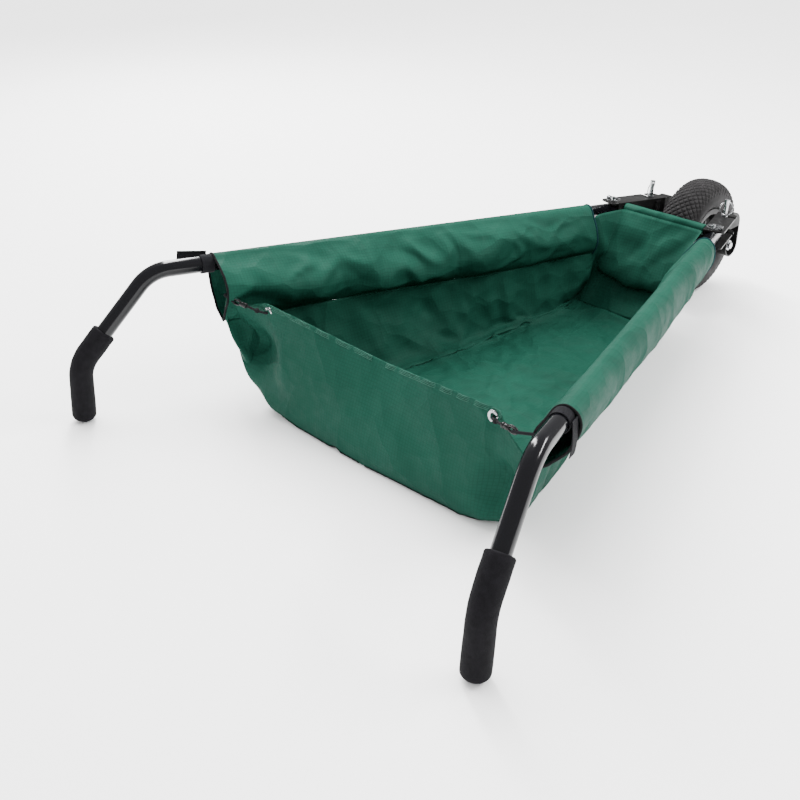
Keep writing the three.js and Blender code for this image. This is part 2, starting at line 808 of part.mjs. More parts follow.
function eyelet() {
  const at = [EYELET.x, EYELET.z];
  const [from, to] = [FLAP_Y - 2, FLAP_Y + 2];
  return cut(rod("y", EYELET.r, from, to, 20, at), rod("y", 4.6, from - 1, to + 1, 16, at));
}

const CORD_R = 1.75;
const CORD_ROUTE = [
  [EYELET.x, FLAP_Y + 5, EYELET.z],
  [EYELET.x, FLAP_Y, EYELET.z],
  [EYELET.x + 3, FLAP_Y - 5, EYELET.z + 0.5],
  [EYELET.x + 8, FLAP_Y - 9, EYELET.z + 2],
  [EYELET.x + 15, FLAP_Y - 13, EYELET.z + 4],
  [EYELET.x + 22, FLAP_Y - 16, EYELET.z + 6],
  [EYELET.x + 29, FLAP_Y - 19, EYELET.z + 8],
];
const HOOK_RISE = THREE.MathUtils.degToRad(8);
const HOOK_TURN = THREE.MathUtils.degToRad(12); // rearwards, towards the sleeve's loop

function flapCord() {
  const points = CORD_ROUTE.map((p) => new THREE.Vector3(...p));
  const knot = new THREE.SphereGeometry(4.6, 12, 8);
  knot.translate(EYELET.x, FLAP_Y + 7, EYELET.z);
  return join(sweep(points, circle(CORD_R, 8)), knot);
}

function flapHook() {
  // A small plastic snap: a barrel on the cord and an oval eye.
  const [x, y, z] = CORD_ROUTE[CORD_ROUTE.length - 1];
  const barrel = rod("x", 4.2, GAP, 13, 14);
  const eye = new THREE.Shape();
  eye.absellipse(20, 0, 10, 5.6, 0, 2 * Math.PI, false);
  const hole = new THREE.Path();
  hole.absellipse(20.5, 0, 6.6, 2.8, 0, 2 * Math.PI, false);
  eye.holes.push(hole);
  const plate = new THREE.ExtrudeGeometry(eye, { depth: 4, bevelEnabled: false, curveSegments: 16 });
  plate.translate(0, 0, -2).rotateX(Math.PI / 2);
  return join(barrel, plate).rotateY(-HOOK_RISE).rotateZ(-HOOK_TURN).translate(x, y, z);
}

buildSide(1, "right");
buildSide(-1, "left");

add(wagon, "floor_panel", floorPanel(), cloth);
add(wagon, "front_panel", frontPanel(), cloth);
add(wagon, "rear_flap", rearFlap(), cloth);

const bridgeEnd = 82;
add(
  wagon,
  "fork_bridge",
  rod("x", BRIDGE_R, -bridgeEnd, bridgeEnd, 20, [BRIDGE_Y, BRIDGE_Z]),
  bracketPaint,
);
const hem = turned(
  [
    [-78, BRIDGE_R + GAP + 1.8],
    [78, BRIDGE_R + GAP + 1.8],
    [78, BRIDGE_R + GAP],
    [-78, BRIDGE_R + GAP],
  ],
  20,
);
add(wagon, "front_hem", hem, cloth).position.set(0, BRIDGE_Y, BRIDGE_Z);

export default wagon;
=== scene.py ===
import math

import bmesh
import bpy
import numpy as np
from mathutils import Matrix, Vector, noise


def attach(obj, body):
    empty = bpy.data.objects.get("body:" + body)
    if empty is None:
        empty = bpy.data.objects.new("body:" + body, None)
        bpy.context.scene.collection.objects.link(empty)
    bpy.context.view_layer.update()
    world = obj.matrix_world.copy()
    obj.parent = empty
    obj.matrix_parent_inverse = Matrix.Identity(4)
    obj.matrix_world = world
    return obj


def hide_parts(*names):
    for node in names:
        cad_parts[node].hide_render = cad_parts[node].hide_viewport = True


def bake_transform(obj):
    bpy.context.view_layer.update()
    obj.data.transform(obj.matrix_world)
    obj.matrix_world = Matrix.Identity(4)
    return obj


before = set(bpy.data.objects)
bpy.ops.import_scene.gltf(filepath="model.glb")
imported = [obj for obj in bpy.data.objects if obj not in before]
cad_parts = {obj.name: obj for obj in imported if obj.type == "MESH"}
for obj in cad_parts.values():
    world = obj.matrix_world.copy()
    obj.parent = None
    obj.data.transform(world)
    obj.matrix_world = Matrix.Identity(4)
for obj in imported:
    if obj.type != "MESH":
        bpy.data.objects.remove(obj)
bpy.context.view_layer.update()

# A folding one-wheel barrow. Metres, +Z up, +Y towards the wheel, +X right of the pusher.

MM = 0.001

# ---- driving dimensions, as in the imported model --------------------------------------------
PLANE_Y = 0.466
PLANE_Z = 0.165
PLANE_PITCH = math.radians(3.508)
ARM_YAW = math.radians(16.85)
LOCK_X = 0.079
LOCK_TO_PIVOT = 0.093
TUBE_FRONT = 0.107
SLEEVE_FRONT = -0.0597
SLEEVE_REAR = -0.7977
BEND_AT = -0.8973
BEND_DROP = math.radians(49)
BEND_RUN = 0.178
GRIP_DROP = math.radians(89)
GRIP_FROM_BEND = 0.062
BEND_R = 0.062
TUBE_R = 0.0127
GRIP_R = 0.0185
GRIP_DOME = 0.012
WHEEL_R = 0.110
AXLE_Y = 0.513
BRIDGE_Y = 0.392
BRIDGE_Z = 0.175
BRIDGE_R = 0.008
EYELET = Vector((0.222, -0.371, 0.164))

SIDES = {"right": 1, "left": -1}

# The arm's own frame: its origin on the pivot, -Y back along the tube, +Z square to the fold plane.
PLANE = Matrix.Translation((0, PLANE_Y, PLANE_Z)) @ Matrix.Rotation(-PLANE_PITCH, 4, "X")
PIVOT = Vector((
    LOCK_X + LOCK_TO_PIVOT * math.sin(ARM_YAW),
    -LOCK_TO_PIVOT * math.cos(ARM_YAW),
    0,
))
ARM = PLANE @ Matrix.Translation(PIVOT) @ Matrix.Rotation(ARM_YAW, 4, "Z")


def arm_point(side, x, y, z):
    """A point given in the arm's own frame, in the row frame."""
    p = ARM @ Vector((x, y, z))
    return Vector((p.x * SIDES[side], p.y, p.z))


# ---- camera ----------------------------------------------------------------------------------
CAMERA_AT = Vector((0.9378, -1.2886, 0.8459))
CAMERA_AZIMUTH = math.radians(43.85)
CAMERA_ELEVATION = math.radians(29.64)
CAMERA_ROLL = math.radians(0.29)
CAMERA_LENS = 47.47


def make_camera():
    data = bpy.data.cameras.new("camera")
    data.lens = CAMERA_LENS
    data.sensor_width = 36
    data.clip_end = 50
    camera = bpy.data.objects.new("camera", data)
    bpy.context.scene.collection.objects.link(camera)
    turn = Matrix.Rotation(CAMERA_AZIMUTH, 4, "Z")
    tilt = Matrix.Rotation(math.pi / 2 - CAMERA_ELEVATION, 4, "X")
    roll = Matrix.Rotation(CAMERA_ROLL, 4, "Z")
    camera.matrix_world = Matrix.Translation(CAMERA_AT) @ turn @ tilt @ roll
    bpy.context.scene.camera = camera


make_camera()


# ---- mesh helpers ----------------------------------------------------------------------------
def mesh_object(name, verts, faces, material=None, smooth=True):
    mesh = bpy.data.meshes.new(name)
    mesh.from_pydata([tuple(v) for v in verts], [], faces)
    mesh.update()
    obj = bpy.data.objects.new(name, mesh)
    bpy.context.scene.collection.objects.link(obj)
    if material:
        mesh.materials.append(material)
    if smooth:
        mesh.polygons.foreach_set("use_smooth", [True] * len(mesh.polygons))
    return obj


def grid_faces(rows, columns, close_rows=False, close_columns=False):
    """Quads of a grid whose vertex (r, c) has number r * columns + c."""
    faces = []
    for r in range(rows if close_rows else rows - 1):
        for c in range(columns if close_columns else columns - 1):
            r1, c1 = (r + 1) % rows, (c + 1) % columns
            faces.append((r * columns + c, r * columns + c1, r1 * columns + c1, r1 * columns + c))
    return faces


def recalc(obj):
    bm = bmesh.new()
    bm.from_mesh(obj.data)
    bmesh.ops.recalc_face_normals(bm, faces=bm.faces)
    bm.to_mesh(obj.data)
    bm.free()
    return obj


def baked(obj):
    """Applies the object's modifiers to its mesh."""
    graph = bpy.context.evaluated_depsgraph_get()
    mesh = bpy.data.meshes.new_from_object(obj.evaluated_get(graph), depsgraph=graph)
    old = obj.data
    obj.modifiers.clear()
    obj.data = mesh
    mesh.name = obj.name
    bpy.data.meshes.remove(old)
    return obj


def filleted(corners, radius, pieces):
    """A polyline whose inner corners are arcs of one radius."""
    points = [corners[0]]
    for before, corner, after in zip(corners, corners[1:], corners[2:]):
        into = (corner - before).normalized()
        out = (after - corner).normalized()
        turn = into.angle(out)
        start = corner - into * radius * math.tan(turn / 2)
        inward = (out - into * into.dot(out)).normalized()
        centre = start + inward * radius
        for k in range(pieces + 1):
            a = turn * k / pieces
            points.append(centre - inward * radius * math.cos(a) + into * radius * math.sin(a))
    points.append(corners[-1])
    return points


def rings_along(points, radii, sides, up):
    """Rings of vertices round a route, each with its own radius."""
    verts = []
    for i, point in enumerate(points):
        ahead = points[min(i + 1, len(points) - 1)] - points[max(i - 1, 0)]
        ahead.normalize()
        across = ahead.cross(up).normalized()
        above = across.cross(ahead).normalized()
        for k in range(sides):
            a = 2 * math.pi * k / sides
            verts.append(point + (across * math.cos(a) + above * math.sin(a)) * radii[i])
    return verts


def swept(name, points, radii, sides, material, up=Vector((0, 0, 1)), capped=True):
    verts = rings_along(points, radii, sides, up)
    faces = grid_faces(len(points), sides, close_columns=True)
    if capped:
        faces.append(tuple(reversed(range(sides))))
        faces.append(tuple(range(len(verts) - sides, len(verts))))
    return recalc(mesh_object(name, verts, faces, material))


def lathe(name, profile, segments, centre, material, closed=True):
    """A body of revolution about X through centre, from (x, radius) pairs."""
    verts = []
    for k in range(segments):
        a = 2 * math.pi * k / segments
        for x, r in profile:
            verts.append((centre[0] + x, centre[1] + r * math.cos(a), centre[2] + r * math.sin(a)))
    faces = grid_faces(segments, len(profile), close_rows=True, close_columns=closed)
    return recalc(mesh_object(name, verts, faces, material))


def soften(obj, width, segments=2, angle=35):
    """Rounds an object's hard edges."""
    bevel = obj.modifiers.new("bevel", "BEVEL")
    bevel.width = width
    bevel.segments = segments
    bevel.limit_method = "ANGLE"
    bevel.angle_limit = math.radians(angle)
    bevel.harden_normals = False
    obj.data.polygons.foreach_set("use_smooth", [True] * len(obj.data.polygons))
    return obj


def fit(piece, slot, body, *stands_for):
    """Puts a rigid piece on its body and hides the CAD solids that it replaces; slot is not used."""
    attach(piece, body)
    if stands_for:
        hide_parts(*stands_for)


# ---- materials -------------------------------------------------------------------------------
class Finish:
    """A node material with a few shared ways of adding detail."""

    def __init__(self, name, color, roughness, metallic=0.0):
        self.material = bpy.data.materials.new(name)
        self.material.use_nodes = True
        self.nodes = self.material.node_tree.nodes
        self.links = self.material.node_tree.links
        self.shader = self.nodes["Principled BSDF"]
        self.color = color
        self.shader.inputs["Base Color"].default_value = (*color, 1)
        self.shader.inputs["Roughness"].default_value = roughness
        self.shader.inputs["Metallic"].default_value = metallic
        self.height = None

    def node(self, kind, **values):
        made = self.nodes.new(kind)
        for key, value in values.items():
            if key in made.inputs:
                made.inputs[key].default_value = value
            else:
                setattr(made, key.lower(), value)
        return made

    def math(self, operation, a, b):
        made = self.node("ShaderNodeMath")
        made.operation = operation
        for socket, value in zip(made.inputs, (a, b)):
            if isinstance(value, float):
                socket.default_value = value
            else:
                self.links.new(value, socket)
        return made.outputs[0]

    def noise(self, scale, detail=4):
        place = self.node("ShaderNodeTexCoord").outputs["Object"]
        made = self.node("ShaderNodeTexNoise", Scale=scale, Detail=detail)
        self.links.new(place, made.inputs["Vector"])
        return made.outputs["Fac"]

    def facets(self, scale, wander):
        """Flat patches that meet in sharp lines, as in cloth that has been folded small."""
        place = self.node("ShaderNodeTexCoord").outputs["Object"]
        swirl = self.node("ShaderNodeTexNoise", Scale=scale * 0.6, Detail=3)
        self.links.new(place, swirl.inputs["Vector"])
        shift = self.node("ShaderNodeVectorMath")
        shift.operation = "MULTIPLY_ADD"
        shift.inputs[1].default_value = (wander, wander, wander)
        self.links.new(swirl.outputs["Color"], shift.inputs[0])
        self.links.new(place, shift.inputs[2])
        cells = self.node("ShaderNodeTexVoronoi", Scale=scale)
        self.links.new(shift.outputs[0], cells.inputs["Vector"])
        return cells.outputs["Distance"]

    def spread(self, value, low, high, socket):
        """Lets a 0 to 1 value move a shader number between two limits."""
        ramp = self.node("ShaderNodeMapRange")
        ramp.inputs["From Min"].default_value = 0.3
        ramp.inputs["From Max"].default_value = 0.7
        ramp.inputs["To Min"].default_value = low
        ramp.inputs["To Max"].default_value = high
        self.links.new(value, ramp.inputs["Value"])
        self.links.new(ramp.outputs["Result"], self.shader.inputs[socket])

    def tint(self, value, dark, light, low=0.3, high=0.7):
        """Base colour from a 0 to 1 value, between two shades of the finish's colour."""
        ramp = self.node("ShaderNodeValToRGB")
        ramp.color_ramp.elements[0].position = low
        ramp.color_ramp.elements[1].position = high
        ramp.color_ramp.elements[0].color = (*[c * dark for c in self.color], 1)
        ramp.color_ramp.elements[1].color = (*[c * light for c in self.color], 1)
        self.links.new(value, ramp.inputs["Fac"])
        self.links.new(ramp.outputs["Color"], self.shader.inputs["Base Color"])
        return ramp

    def bump(self, value, distance, strength=1.0):
        made = self.node("ShaderNodeBump", Strength=strength, Distance=distance)
        self.links.new(value, made.inputs["Height"])
        if self.height:
            self.links.new(self.height, made.inputs["Normal"])
        self.height = made.outputs["Normal"]
        self.links.new(self.height, self.shader.inputs["Normal"])


def gloss_paint():
    f = Finish("gloss_black_paint", (0.003, 0.003, 0.004), 0.16)
    f.shader.inputs["Specular IOR Level"].default_value = 0.3
    f.spread(f.noise(60, 5), 0.10, 0.18, "Roughness")
    f.bump(f.noise(900, 2), 0.00004, 0.4)
    return f.material


def stamped_paint():
    f = Finish("satin_black_stamping", (0.006, 0.006, 0.006), 0.38)
    f.shader.inputs["Specular IOR Level"].default_value = 0.14
    f.spread(f.noise(45, 6), 0.30, 0.50, "Roughness")
    f.tint(f.noise(30, 6), 0.8, 1.35)
    f.bump(f.noise(500, 3), 0.00008, 0.5)
    return f.material


def zinc():
    f = Finish("bright_zinc", (0.42, 0.43, 0.44), 0.2, 1.0)
    f.spread(f.noise(220, 5), 0.12, 0.34, "Roughness")
    f.tint(f.noise(90, 5), 0.85, 1.05)
    return f.material


def steel():
    f = Finish("ground_steel", (0.25, 0.25, 0.26), 0.3, 1.0)
    f.spread(f.noise(300, 4), 0.22, 0.4, "Roughness")
    return f.material


def rubber(name, color, roughness):
    f = Finish(name, color, roughness)
    f.shader.inputs["Specular IOR Level"].default_value = 0.2
    f.tint(f.noise(70, 6), 0.75, 1.4)
    f.spread(f.noise(40, 5), roughness - 0.1, roughness + 0.1, "Roughness")
    f.bump(f.noise(1200, 3), 0.0001, 0.5)
    return f.material


def foam():
    f = Finish("grip_foam", (0.0048, 0.0045, 0.0056), 0.92)
    f.shader.inputs["Specular IOR Level"].default_value = 0.12
    cells = f.node("ShaderNodeTexVoronoi", Scale=900)
    f.links.new(f.node("ShaderNodeTexCoord").outputs["Object"], cells.inputs["Vector"])
    f.tint(f.noise(120, 6), 0.75, 1.3)
    f.bump(cells.outputs["Distance"], 0.0005, 0.6)
    f.bump(f.noise(45, 3), 0.0012, 0.35)
    return f.material


def plastic():
    f = Finish("black_plastic", (0.004, 0.004, 0.0045), 0.36)
    f.shader.inputs["Specular IOR Level"].default_value = 0.3
    f.spread(f.noise(200, 4), 0.28, 0.46, "Roughness")
    f.bump(f.noise(700, 2), 0.00006, 0.4)
    return f.material


def woven(name, color, pitch, roughness=0.85):
    """Plain-woven tape or braid, from two crossed sets of ribs."""
    f = Finish(name, color, roughness)
    f.shader.inputs["Specular IOR Level"].default_value = 0.15
    place = f.node("ShaderNodeTexCoord").outputs["Object"]
    ribs = []
    for axis in ("X", "Z"):
        wave = f.node("ShaderNodeTexWave", Scale=1 / pitch / 2)
        wave.bands_direction = axis
        f.links.new(place, wave.inputs["Vector"])
        ribs.append(wave.outputs["Fac"])
    both = f.math("MAXIMUM", *ribs)
    f.tint(both, 0.6, 1.5, 0.1, 0.9)
    f.bump(both, 0.0003, 0.6)
    return f.material


RIPSTOP_PITCH = 0.0052


def ripstop(name="green_ripstop", color=(0.0055, 0.046, 0.030)):
    """Coated polyester: a fine weave crossed by thicker threads in small squares."""
    f = Finish(name, color, 0.5)
    f.shader.inputs["Specular IOR Level"].default_value = 0.08
    uv = f.node("ShaderNodeTexCoord").outputs["UV"]
    split = f.node("ShaderNodeSeparateXYZ")
    f.links.new(uv, split.inputs["Vector"])

    def lines(pitch, width):
        """Narrow lines in both directions, pitch apart."""
        both = []
        for axis in ("X", "Y"):
            wrap = f.math("PINGPONG", f.math("DIVIDE", split.outputs[axis], pitch), 0.5)
            line = f.node("ShaderNodeMapRange")
            line.inputs["From Min"].default_value = width
            line.inputs["From Max"].default_value = 0.0
            f.links.new(wrap, line.inputs["Value"])
            both.append(line.outputs["Result"])
        return f.math("MAXIMUM", *both)

    grid = lines(RIPSTOP_PITCH, 0.14)
    weave = lines(RIPSTOP_PITCH / 9, 0.4)
    shade = f.tint(f.noise(9, 5), 0.9, 1.1)
    mix = f.node("ShaderNodeMix")
    mix.data_type = "RGBA"
    mix.blend_type = "MIX"
    mix.inputs[7].default_value = (*[c * 0.66 for c in color], 1)
    f.links.new(f.math("MULTIPLY", grid, 0.55), mix.inputs[0])
    f.links.new(shade.outputs["Color"], mix.inputs[6])
    f.links.new(mix.outputs[2], f.shader.inputs["Base Color"])
    f.spread(f.noise(60, 4), 0.62, 0.74, "Roughness")
    f.bump(f.facets(9, 0.06), 0.030, 0.75)
    f.bump(f.facets(24, 0.02), 0.009, 0.5)
    f.bump(f.noise(55, 4), 0.0016, 0.22)
    f.bump(grid, 0.0002, 0.5)
    f.bump(weave, 0.00006, 0.5)
    return f.material


PAINT = gloss_paint()
STAMPING = stamped_paint()
ZINC = zinc()
STEEL = steel()
TYRE = rubber("tyre_rubber", (0.0115, 0.0108, 0.0112), 0.72)
TUBE_RUBBER = rubber("tube_rubber", (0.007, 0.007, 0.0075), 0.6)
FOAM = foam()
PLASTIC = plastic()
WEBBING = woven("black_webbing", (0.0040, 0.0040, 0.0052), 0.0016)
CORD = woven("black_cord", (0.0060, 0.0060, 0.0066), 0.0009)
# Black binding tape; the same material also paints the contact shadow round the rear's foot.
BLACK_TAPE_AND_SHADOW_LINE = woven("black_tape_and_shadow_line", (0.0028, 0.0030, 0.0034), 0.0012)
TAPE_TEAL = woven("teal_tape", (0.0014, 0.017, 0.020), 0.0012)
GREEN = ripstop()
THREAD = woven("green_thread", (0.030, 0.090, 0.066), 0.0008)


def repaint(material, *names, bevel=0.0):
    """Gives CAD nodes that stay their finish, and rounds their edges."""
    for name in names:
        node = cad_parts[name]
        node.data.materials.clear()
        node.data.materials.append(material)
        if bevel:
            soften(node, bevel)


# ---- arms, grips and straps ------------------------------------------------------------------
FIRST_BEND = Vector((0, BEND_AT, 0))
SECOND_BEND = FIRST_BEND + Vector((0, -math.cos(BEND_DROP), -math.sin(BEND_DROP))) * BEND_RUN
GRIP_WAY = Vector((0, -math.cos(GRIP_DROP), -math.sin(GRIP_DROP)))


def grip_end():
    tilt = GRIP_DROP - PLANE_PITCH
    lowest = math.hypot(GRIP_DOME * math.sin(tilt), GRIP_R * math.cos(tilt))
    bend = ARM @ SECOND_BEND
    return SECOND_BEND + GRIP_WAY * ((bend.z - lowest) / math.sin(tilt))


GRIP_END = grip_end()


def even(points, step):
    """Points spaced no further apart than step along a polyline."""
    result = [points[0]]
    for a, b in zip(points, points[1:]):
        parts = max(1, math.ceil((b - a).length / step))
        result += [a.lerp(b, k / parts) for k in range(1, parts + 1)]
    return result


def arm_tube(side):
    corners = [Vector((0, TUBE_FRONT, 0)), FIRST_BEND, SECOND_BEND, GRIP_END - GRIP_WAY * 0.006]
    route = [arm_point(side, *p) for p in filleted(corners, BEND_R, 14)]
    tube = swept(f"arm_{side}", route, [TUBE_R] * len(route), 40, PAINT)
    fit(tube, "black_tube", f"arm_{side}", f"arm_tube_{side}")


def grip(side):
    """Foam with a rolled upper lip and a domed end, a little fuller where the hand closes."""
    into = (SECOND_BEND - FIRST_BEND).normalized()
    start = SECOND_BEND - into * GRIP_FROM_BEND
    stem = even(filleted([start, SECOND_BEND, GRIP_END], BEND_R, 12), 0.005)
    route, radii = [], []
    lip = 0.0035
    for k in range(6):
        a = math.pi / 2 * k / 5
        route.append(start + into * lip * (1 - math.cos(a)))
        radii.append(GRIP_R - lip + lip * math.sin(a))
    length = sum((b - a).length for a, b in zip(stem, stem[1:]))
    gone = 0.0
    for a, b in zip(stem, stem[1:]):
        gone += (b - a).length
        if gone > lip * 1.5:
            route.append(b)
            radii.append(GRIP_R - 0.0003 + 0.0003 * math.sin(gone / length * 9))
    for k in range(1, 9):
        a = math.pi / 2 * k / 8
        route.append(GRIP_END + GRIP_WAY * GRIP_DOME * math.sin(a))
        radii.append(max(GRIP_R * math.cos(a), 0.0006))
    inner = [start + into * 0.010, start + into * 0.0005]
    route = inner + route
    radii = [TUBE_R + 0.0004, TUBE_R + 0.0004] + radii
    placed = [arm_point(side, *p) for p in route]
    foam_grip = swept(f"grip_{side}", placed, radii, 40, FOAM)
    for v in foam_grip.data.vertices:
        v.co += v.normal * 0.0003 * noise.noise(v.co * 60)
    fit(foam_grip, "grip_foam", f"arm_{side}", f"foam_grip_{side}")


def ribbon(name, centre, half, thickness, material):
    """A flat strap along a route; half gives the half-width direction at each point."""
    verts = []
    for i, p in enumerate(centre):
        ahead = (centre[min(i + 1, len(centre) - 1)] - centre[max(i - 1, 0)]).normalized()
        out = ahead.cross(half[i]).normalized() * thickness / 2
        verts += [p - half[i] - out, p + half[i] - out, p + half[i] + out, p - half[i] + out]
    faces = grid_faces(len(centre), 4, close_columns=True)
    faces += [(3, 2, 1, 0), tuple(range(len(verts) - 4, len(verts)))]
    strap = recalc(mesh_object(name, verts, faces, material, smooth=False))
    bevel = strap.modifiers.new("bevel", "BEVEL")
    bevel.width = thickness * 0.3
    bevel.segments = 2
    return strap


STRAP_HALF = 0.010
STRAP_T = 0.0014


def strap(side):
    """A webbing strap tied round the tube at the sleeve's mouth, with a free tail."""
    middle = SLEEVE_REAR - 0.0005 - STRAP_HALF
    radius = TUBE_R + 0.0012
    loop, half = [], []
    for k in range(41):
        a = math.radians(-30) + 2 * math.pi * k / 36
        r = radius + (STRAP_T + 0.0002) * max(0, k - 36) / 5
        loop.append(arm_point(side, r * math.cos(a), middle, r * math.sin(a)))
        half.append(arm_point(side, 0, STRAP_HALF, 0) - arm_point(side, 0, 0, 0))
    band = ribbon(f"strap_band_{side}", loop, half, STRAP_T, WEBBING)
    tail, across = [], []
    outside = radius + STRAP_T * 1.6
    steps = 14
    for k in range(steps + 1):
        t = k / steps
        if side == "left":
            place = (outside + 0.001 + 0.004 * t, middle + 0.006 - 0.046 * t, 0.006 + 0.004 * t)
            wide = (-0.0025, 0, STRAP_HALF * 0.95)
        else:
            place = (outside + 0.0035 * math.sin(t * 2.4), middle - 0.002 * t, 0.006 - 0.048 * t)
            wide = (0, STRAP_HALF * 0.95, 0.001 * math.sin(5 * t))
        tail.append(arm_point(side, *place))
        across.append(arm_point(side, *wide) - arm_point(side, 0, 0, 0))
    end = ribbon(f"strap_tail_{side}", tail, across, STRAP_T, WEBBING)
    fit(band, "black_webbing", f"arm_{side}", f"sleeve_strap_{side}")
    fit(end, "black_webbing", f"arm_{side}")


# ---- sleeves ---------------------------------------------------------------------------------
# Sections across the arm in millimetres, inboard towards -X: from the seam that the tub hangs on,
# up the inboard face, over the tube and down the outboard face.
SECTION_FRONT = [(-30, -70), (-38, -52), (-36, -30), (-22, -6), (-12, 9), (-3, 14.2), (6, 13.4), (15, 5),
                 (19, -10), (17, -30), (6, -50), (-12, -64)]
SECTION_MIDDLE = {
    "right": [(-31, -78), (-29, -58), (-25, -36), (-19, -13), (-12.5, 7.5), (-3, 14.2), (7, 13), (15.5, 5),
              (20, -10), (19, -30), (10, -52), (-8, -70)],
    "left": [(-34, -77), (-50, -58), (-53, -34), (-37, -9), (-14, 9), (-3, 14.2), (7, 13), (15.5, 5),
             (20, -10), (19, -30), (9, -52), (-10, -70)],
}
SECTION_REAR = {
    "right": [(-31, -80), (-33, -58), (-31, -34), (-21, -10), (-13, 7), (-3, 14.3), (7, 13.4), (17, 6),
              (22, -8), (18, -26), (7, -48), (-12, -68)],
    "left": [(-41, -82), (-54, -52), (-61, -25), (-40, -5), (-15, 9), (-3, 14.2), (7, 13), (16, 5),
             (20, -8), (17, -24), (5, -46), (-16, -68)],
}


def catmull(points, samples, closed=False):
    """A smooth curve through points, as an array, with samples steps between two of them."""
    p = np.array(points, float)
    if closed:
        p = np.vstack([p[-1], p, p[0], p[1]])
    else:
        p = np.vstack([2 * p[0] - p[1], p, 2 * p[-1] - p[-2]])
    out = []
    for i in range(1, len(p) - 2):
        a, b, c, d = p[i - 1], p[i], p[i + 1], p[i + 2]
        for k in range(samples):
            t = k / samples
            out.append(0.5 * (2 * b + (c - a) * t + (2 * a - 5 * b + 4 * c - d) * t * t
                              + (3 * b - a - 3 * c + d) * t ** 3))
    out.append(p[-2])
    return np.array(out)


SECTION_STEPS = 5
SLEEVE_STATIONS = 150


def ease(t):
    t = min(1.0, max(0.0, t))
    return t * t * (3 - 2 * t)


def sleeve_section(side, t):
    """The sleeve's outline at a station: 0 at the front end, 1 at the rear."""
    middle = np.array(SECTION_MIDDLE[side], float)
    if t < 0.5:
        mixed = np.array(SECTION_FRONT, float) + (middle - SECTION_FRONT) * ease(t / 0.35)
    else:
        mixed = middle + (np.array(SECTION_REAR[side], float) - middle) * ease((t - 0.6) / 0.4)
    return catmull(np.vstack([mixed, mixed[:1]]), SECTION_STEPS) * MM


def scallops(along, pitch, seed):
    """Rounded swags between sharp creases, unevenly spaced: -0.5 in a crease to 0.5 on a swag."""
    drift = 0.9 * noise.noise(Vector((along / pitch * 0.45, seed, 0)))
    return abs(math.sin(math.pi * along / pitch + drift * 2.2)) ** 0.7 - 0.5


def creases(place, size, seed):
    """Crossing soft ridges, as in cloth that has been folded flat: about -0.5 to 0.5."""
    p = place / size
    first = 1 - 3 * abs(noise.noise(p + Vector((seed, 0, 0))))
    second = 0.8 - 3 * abs(noise.noise(p * 1.6 + Vector((0, seed + 5, 0))))
    return 0.5 * max(first, second, -0.6)


def sleeve_surface(side):
    """Rows of points along the sleeve, with its slack hanging in swags below the tube."""
    seed = 3.1 if side == "right" else 7.7
    rows = []
    for i in range(SLEEVE_STATIONS + 1):
        t = i / SLEEVE_STATIONS
        y = SLEEVE_FRONT + (SLEEVE_REAR - SLEEVE_FRONT) * t
        outline = sleeve_section(side, t)
        count = len(outline)
        row = []
        for j, (x, z) in enumerate(outline):
            clear = min(1.0, max(0.0, math.hypot(x, z) - 0.016) / 0.030)
            ends = min(1.0, j / 6, (count - 1 - j) / 6) * min(1.0, 0.25 + 6 * t, 0.4 + 8 * (1 - t))
            slack = clear * ends
            inboard = x < -0.010
            depth = 0.0060 if inboard else 0.0025
            wander = 0.03 * noise.noise(Vector((y * 5, z * 12, seed)))
            push = depth * scallops(y + wander, 0.125 if inboard else 0.16, seed)
            crumple = 0.0210 if inboard else 0.0080
            push += crumple * creases(Vector((y * 0.8, x * 1.2, z * 1.2)), 0.085, seed)
            push += 0.0012 * noise.noise(Vector((y, x, z)) * 45)
            way = Vector((x + 0.008, 0, z + 0.020)).normalized()
            row.append(arm_point(side, x + way.x * push * slack, y, z + way.z * push * slack))
        rows.append(row)
    return rows


def with_uv(obj, uvs):
    layer = obj.data.uv_layers.new(name="cloth")
    for loop in obj.data.loops:
        layer.data[loop.index].uv = uvs[loop.vertex_index]


def sleeve(side):
    rows = sleeve_surface(side)
    columns = len(rows[0])
    verts = [p for row in rows for p in row]
    piece = mesh_object(f"sleeve_cloth_{side}", verts, grid_faces(len(rows), columns), GREEN)
    girth = 0.0
    across = [0.0]
    middle = rows[len(rows) // 2]
    for a, b in zip(middle, middle[1:]):
        girth += (b - a).length
        across.append(girth)
    length = SLEEVE_FRONT - SLEEVE_REAR
    uvs = [(length * i / SLEEVE_STATIONS, across[j]) for i in range(len(rows)) for j in range(columns)]
    with_uv(piece, uvs)
    shell = piece.modifiers.new("cloth", "SOLIDIFY")
    shell.thickness = 0.0009
    shell.offset = 0
    smooth = piece.modifiers.new("smooth", "SUBSURF")
    smooth.levels = smooth.render_levels = 1
    baked(piece)
    fit(piece, "green_ripstop", f"arm_{side}", f"sleeve_{side}")
    for end, row, material in (("rear", rows[-1], BLACK_TAPE_AND_SHADOW_LINE), ("front", rows[0], TAPE_TEAL)):
        edge = even(row, 0.003)
        tape = swept(f"sleeve_binding_{end}_{side}", edge, [0.0019] * len(edge), 8, material,
                     up=arm_point(side, 0, 1, 0) - arm_point(side, 0, 0, 0))
        fit(tape, "black_webbing", f"arm_{side}")


# ---- tub -------------------------------------------------------------------------------------
# The sewn tub lies a little over to one side, so its two sides have their own outlines. All of the
# tub's points below are in millimetres.
ALONG = 64  # cells along a side
ACROSS = 44  # cells across the rear and the front
UP = 20  # cells up a wall
HEM_X = 0.084
FOOT = {"right": ((66, 303), (237, -359)), "left": ((-108, 303), (-222, -362))}
FOOT_TUCK = {"right": 0, "left": 34}  # how far the wall's foot is drawn in halfway along
GROUND = 2.6
CREASE = {"right": 8, "left": 10}  # cells from a rear corner to the flap's crease


def seam_point(side, t):
    x, z = sleeve_section(side, t)[0]
    return arm_point(side, x, SLEEVE_FRONT + (SLEEVE_REAR - SLEEVE_FRONT) * t, z) / MM


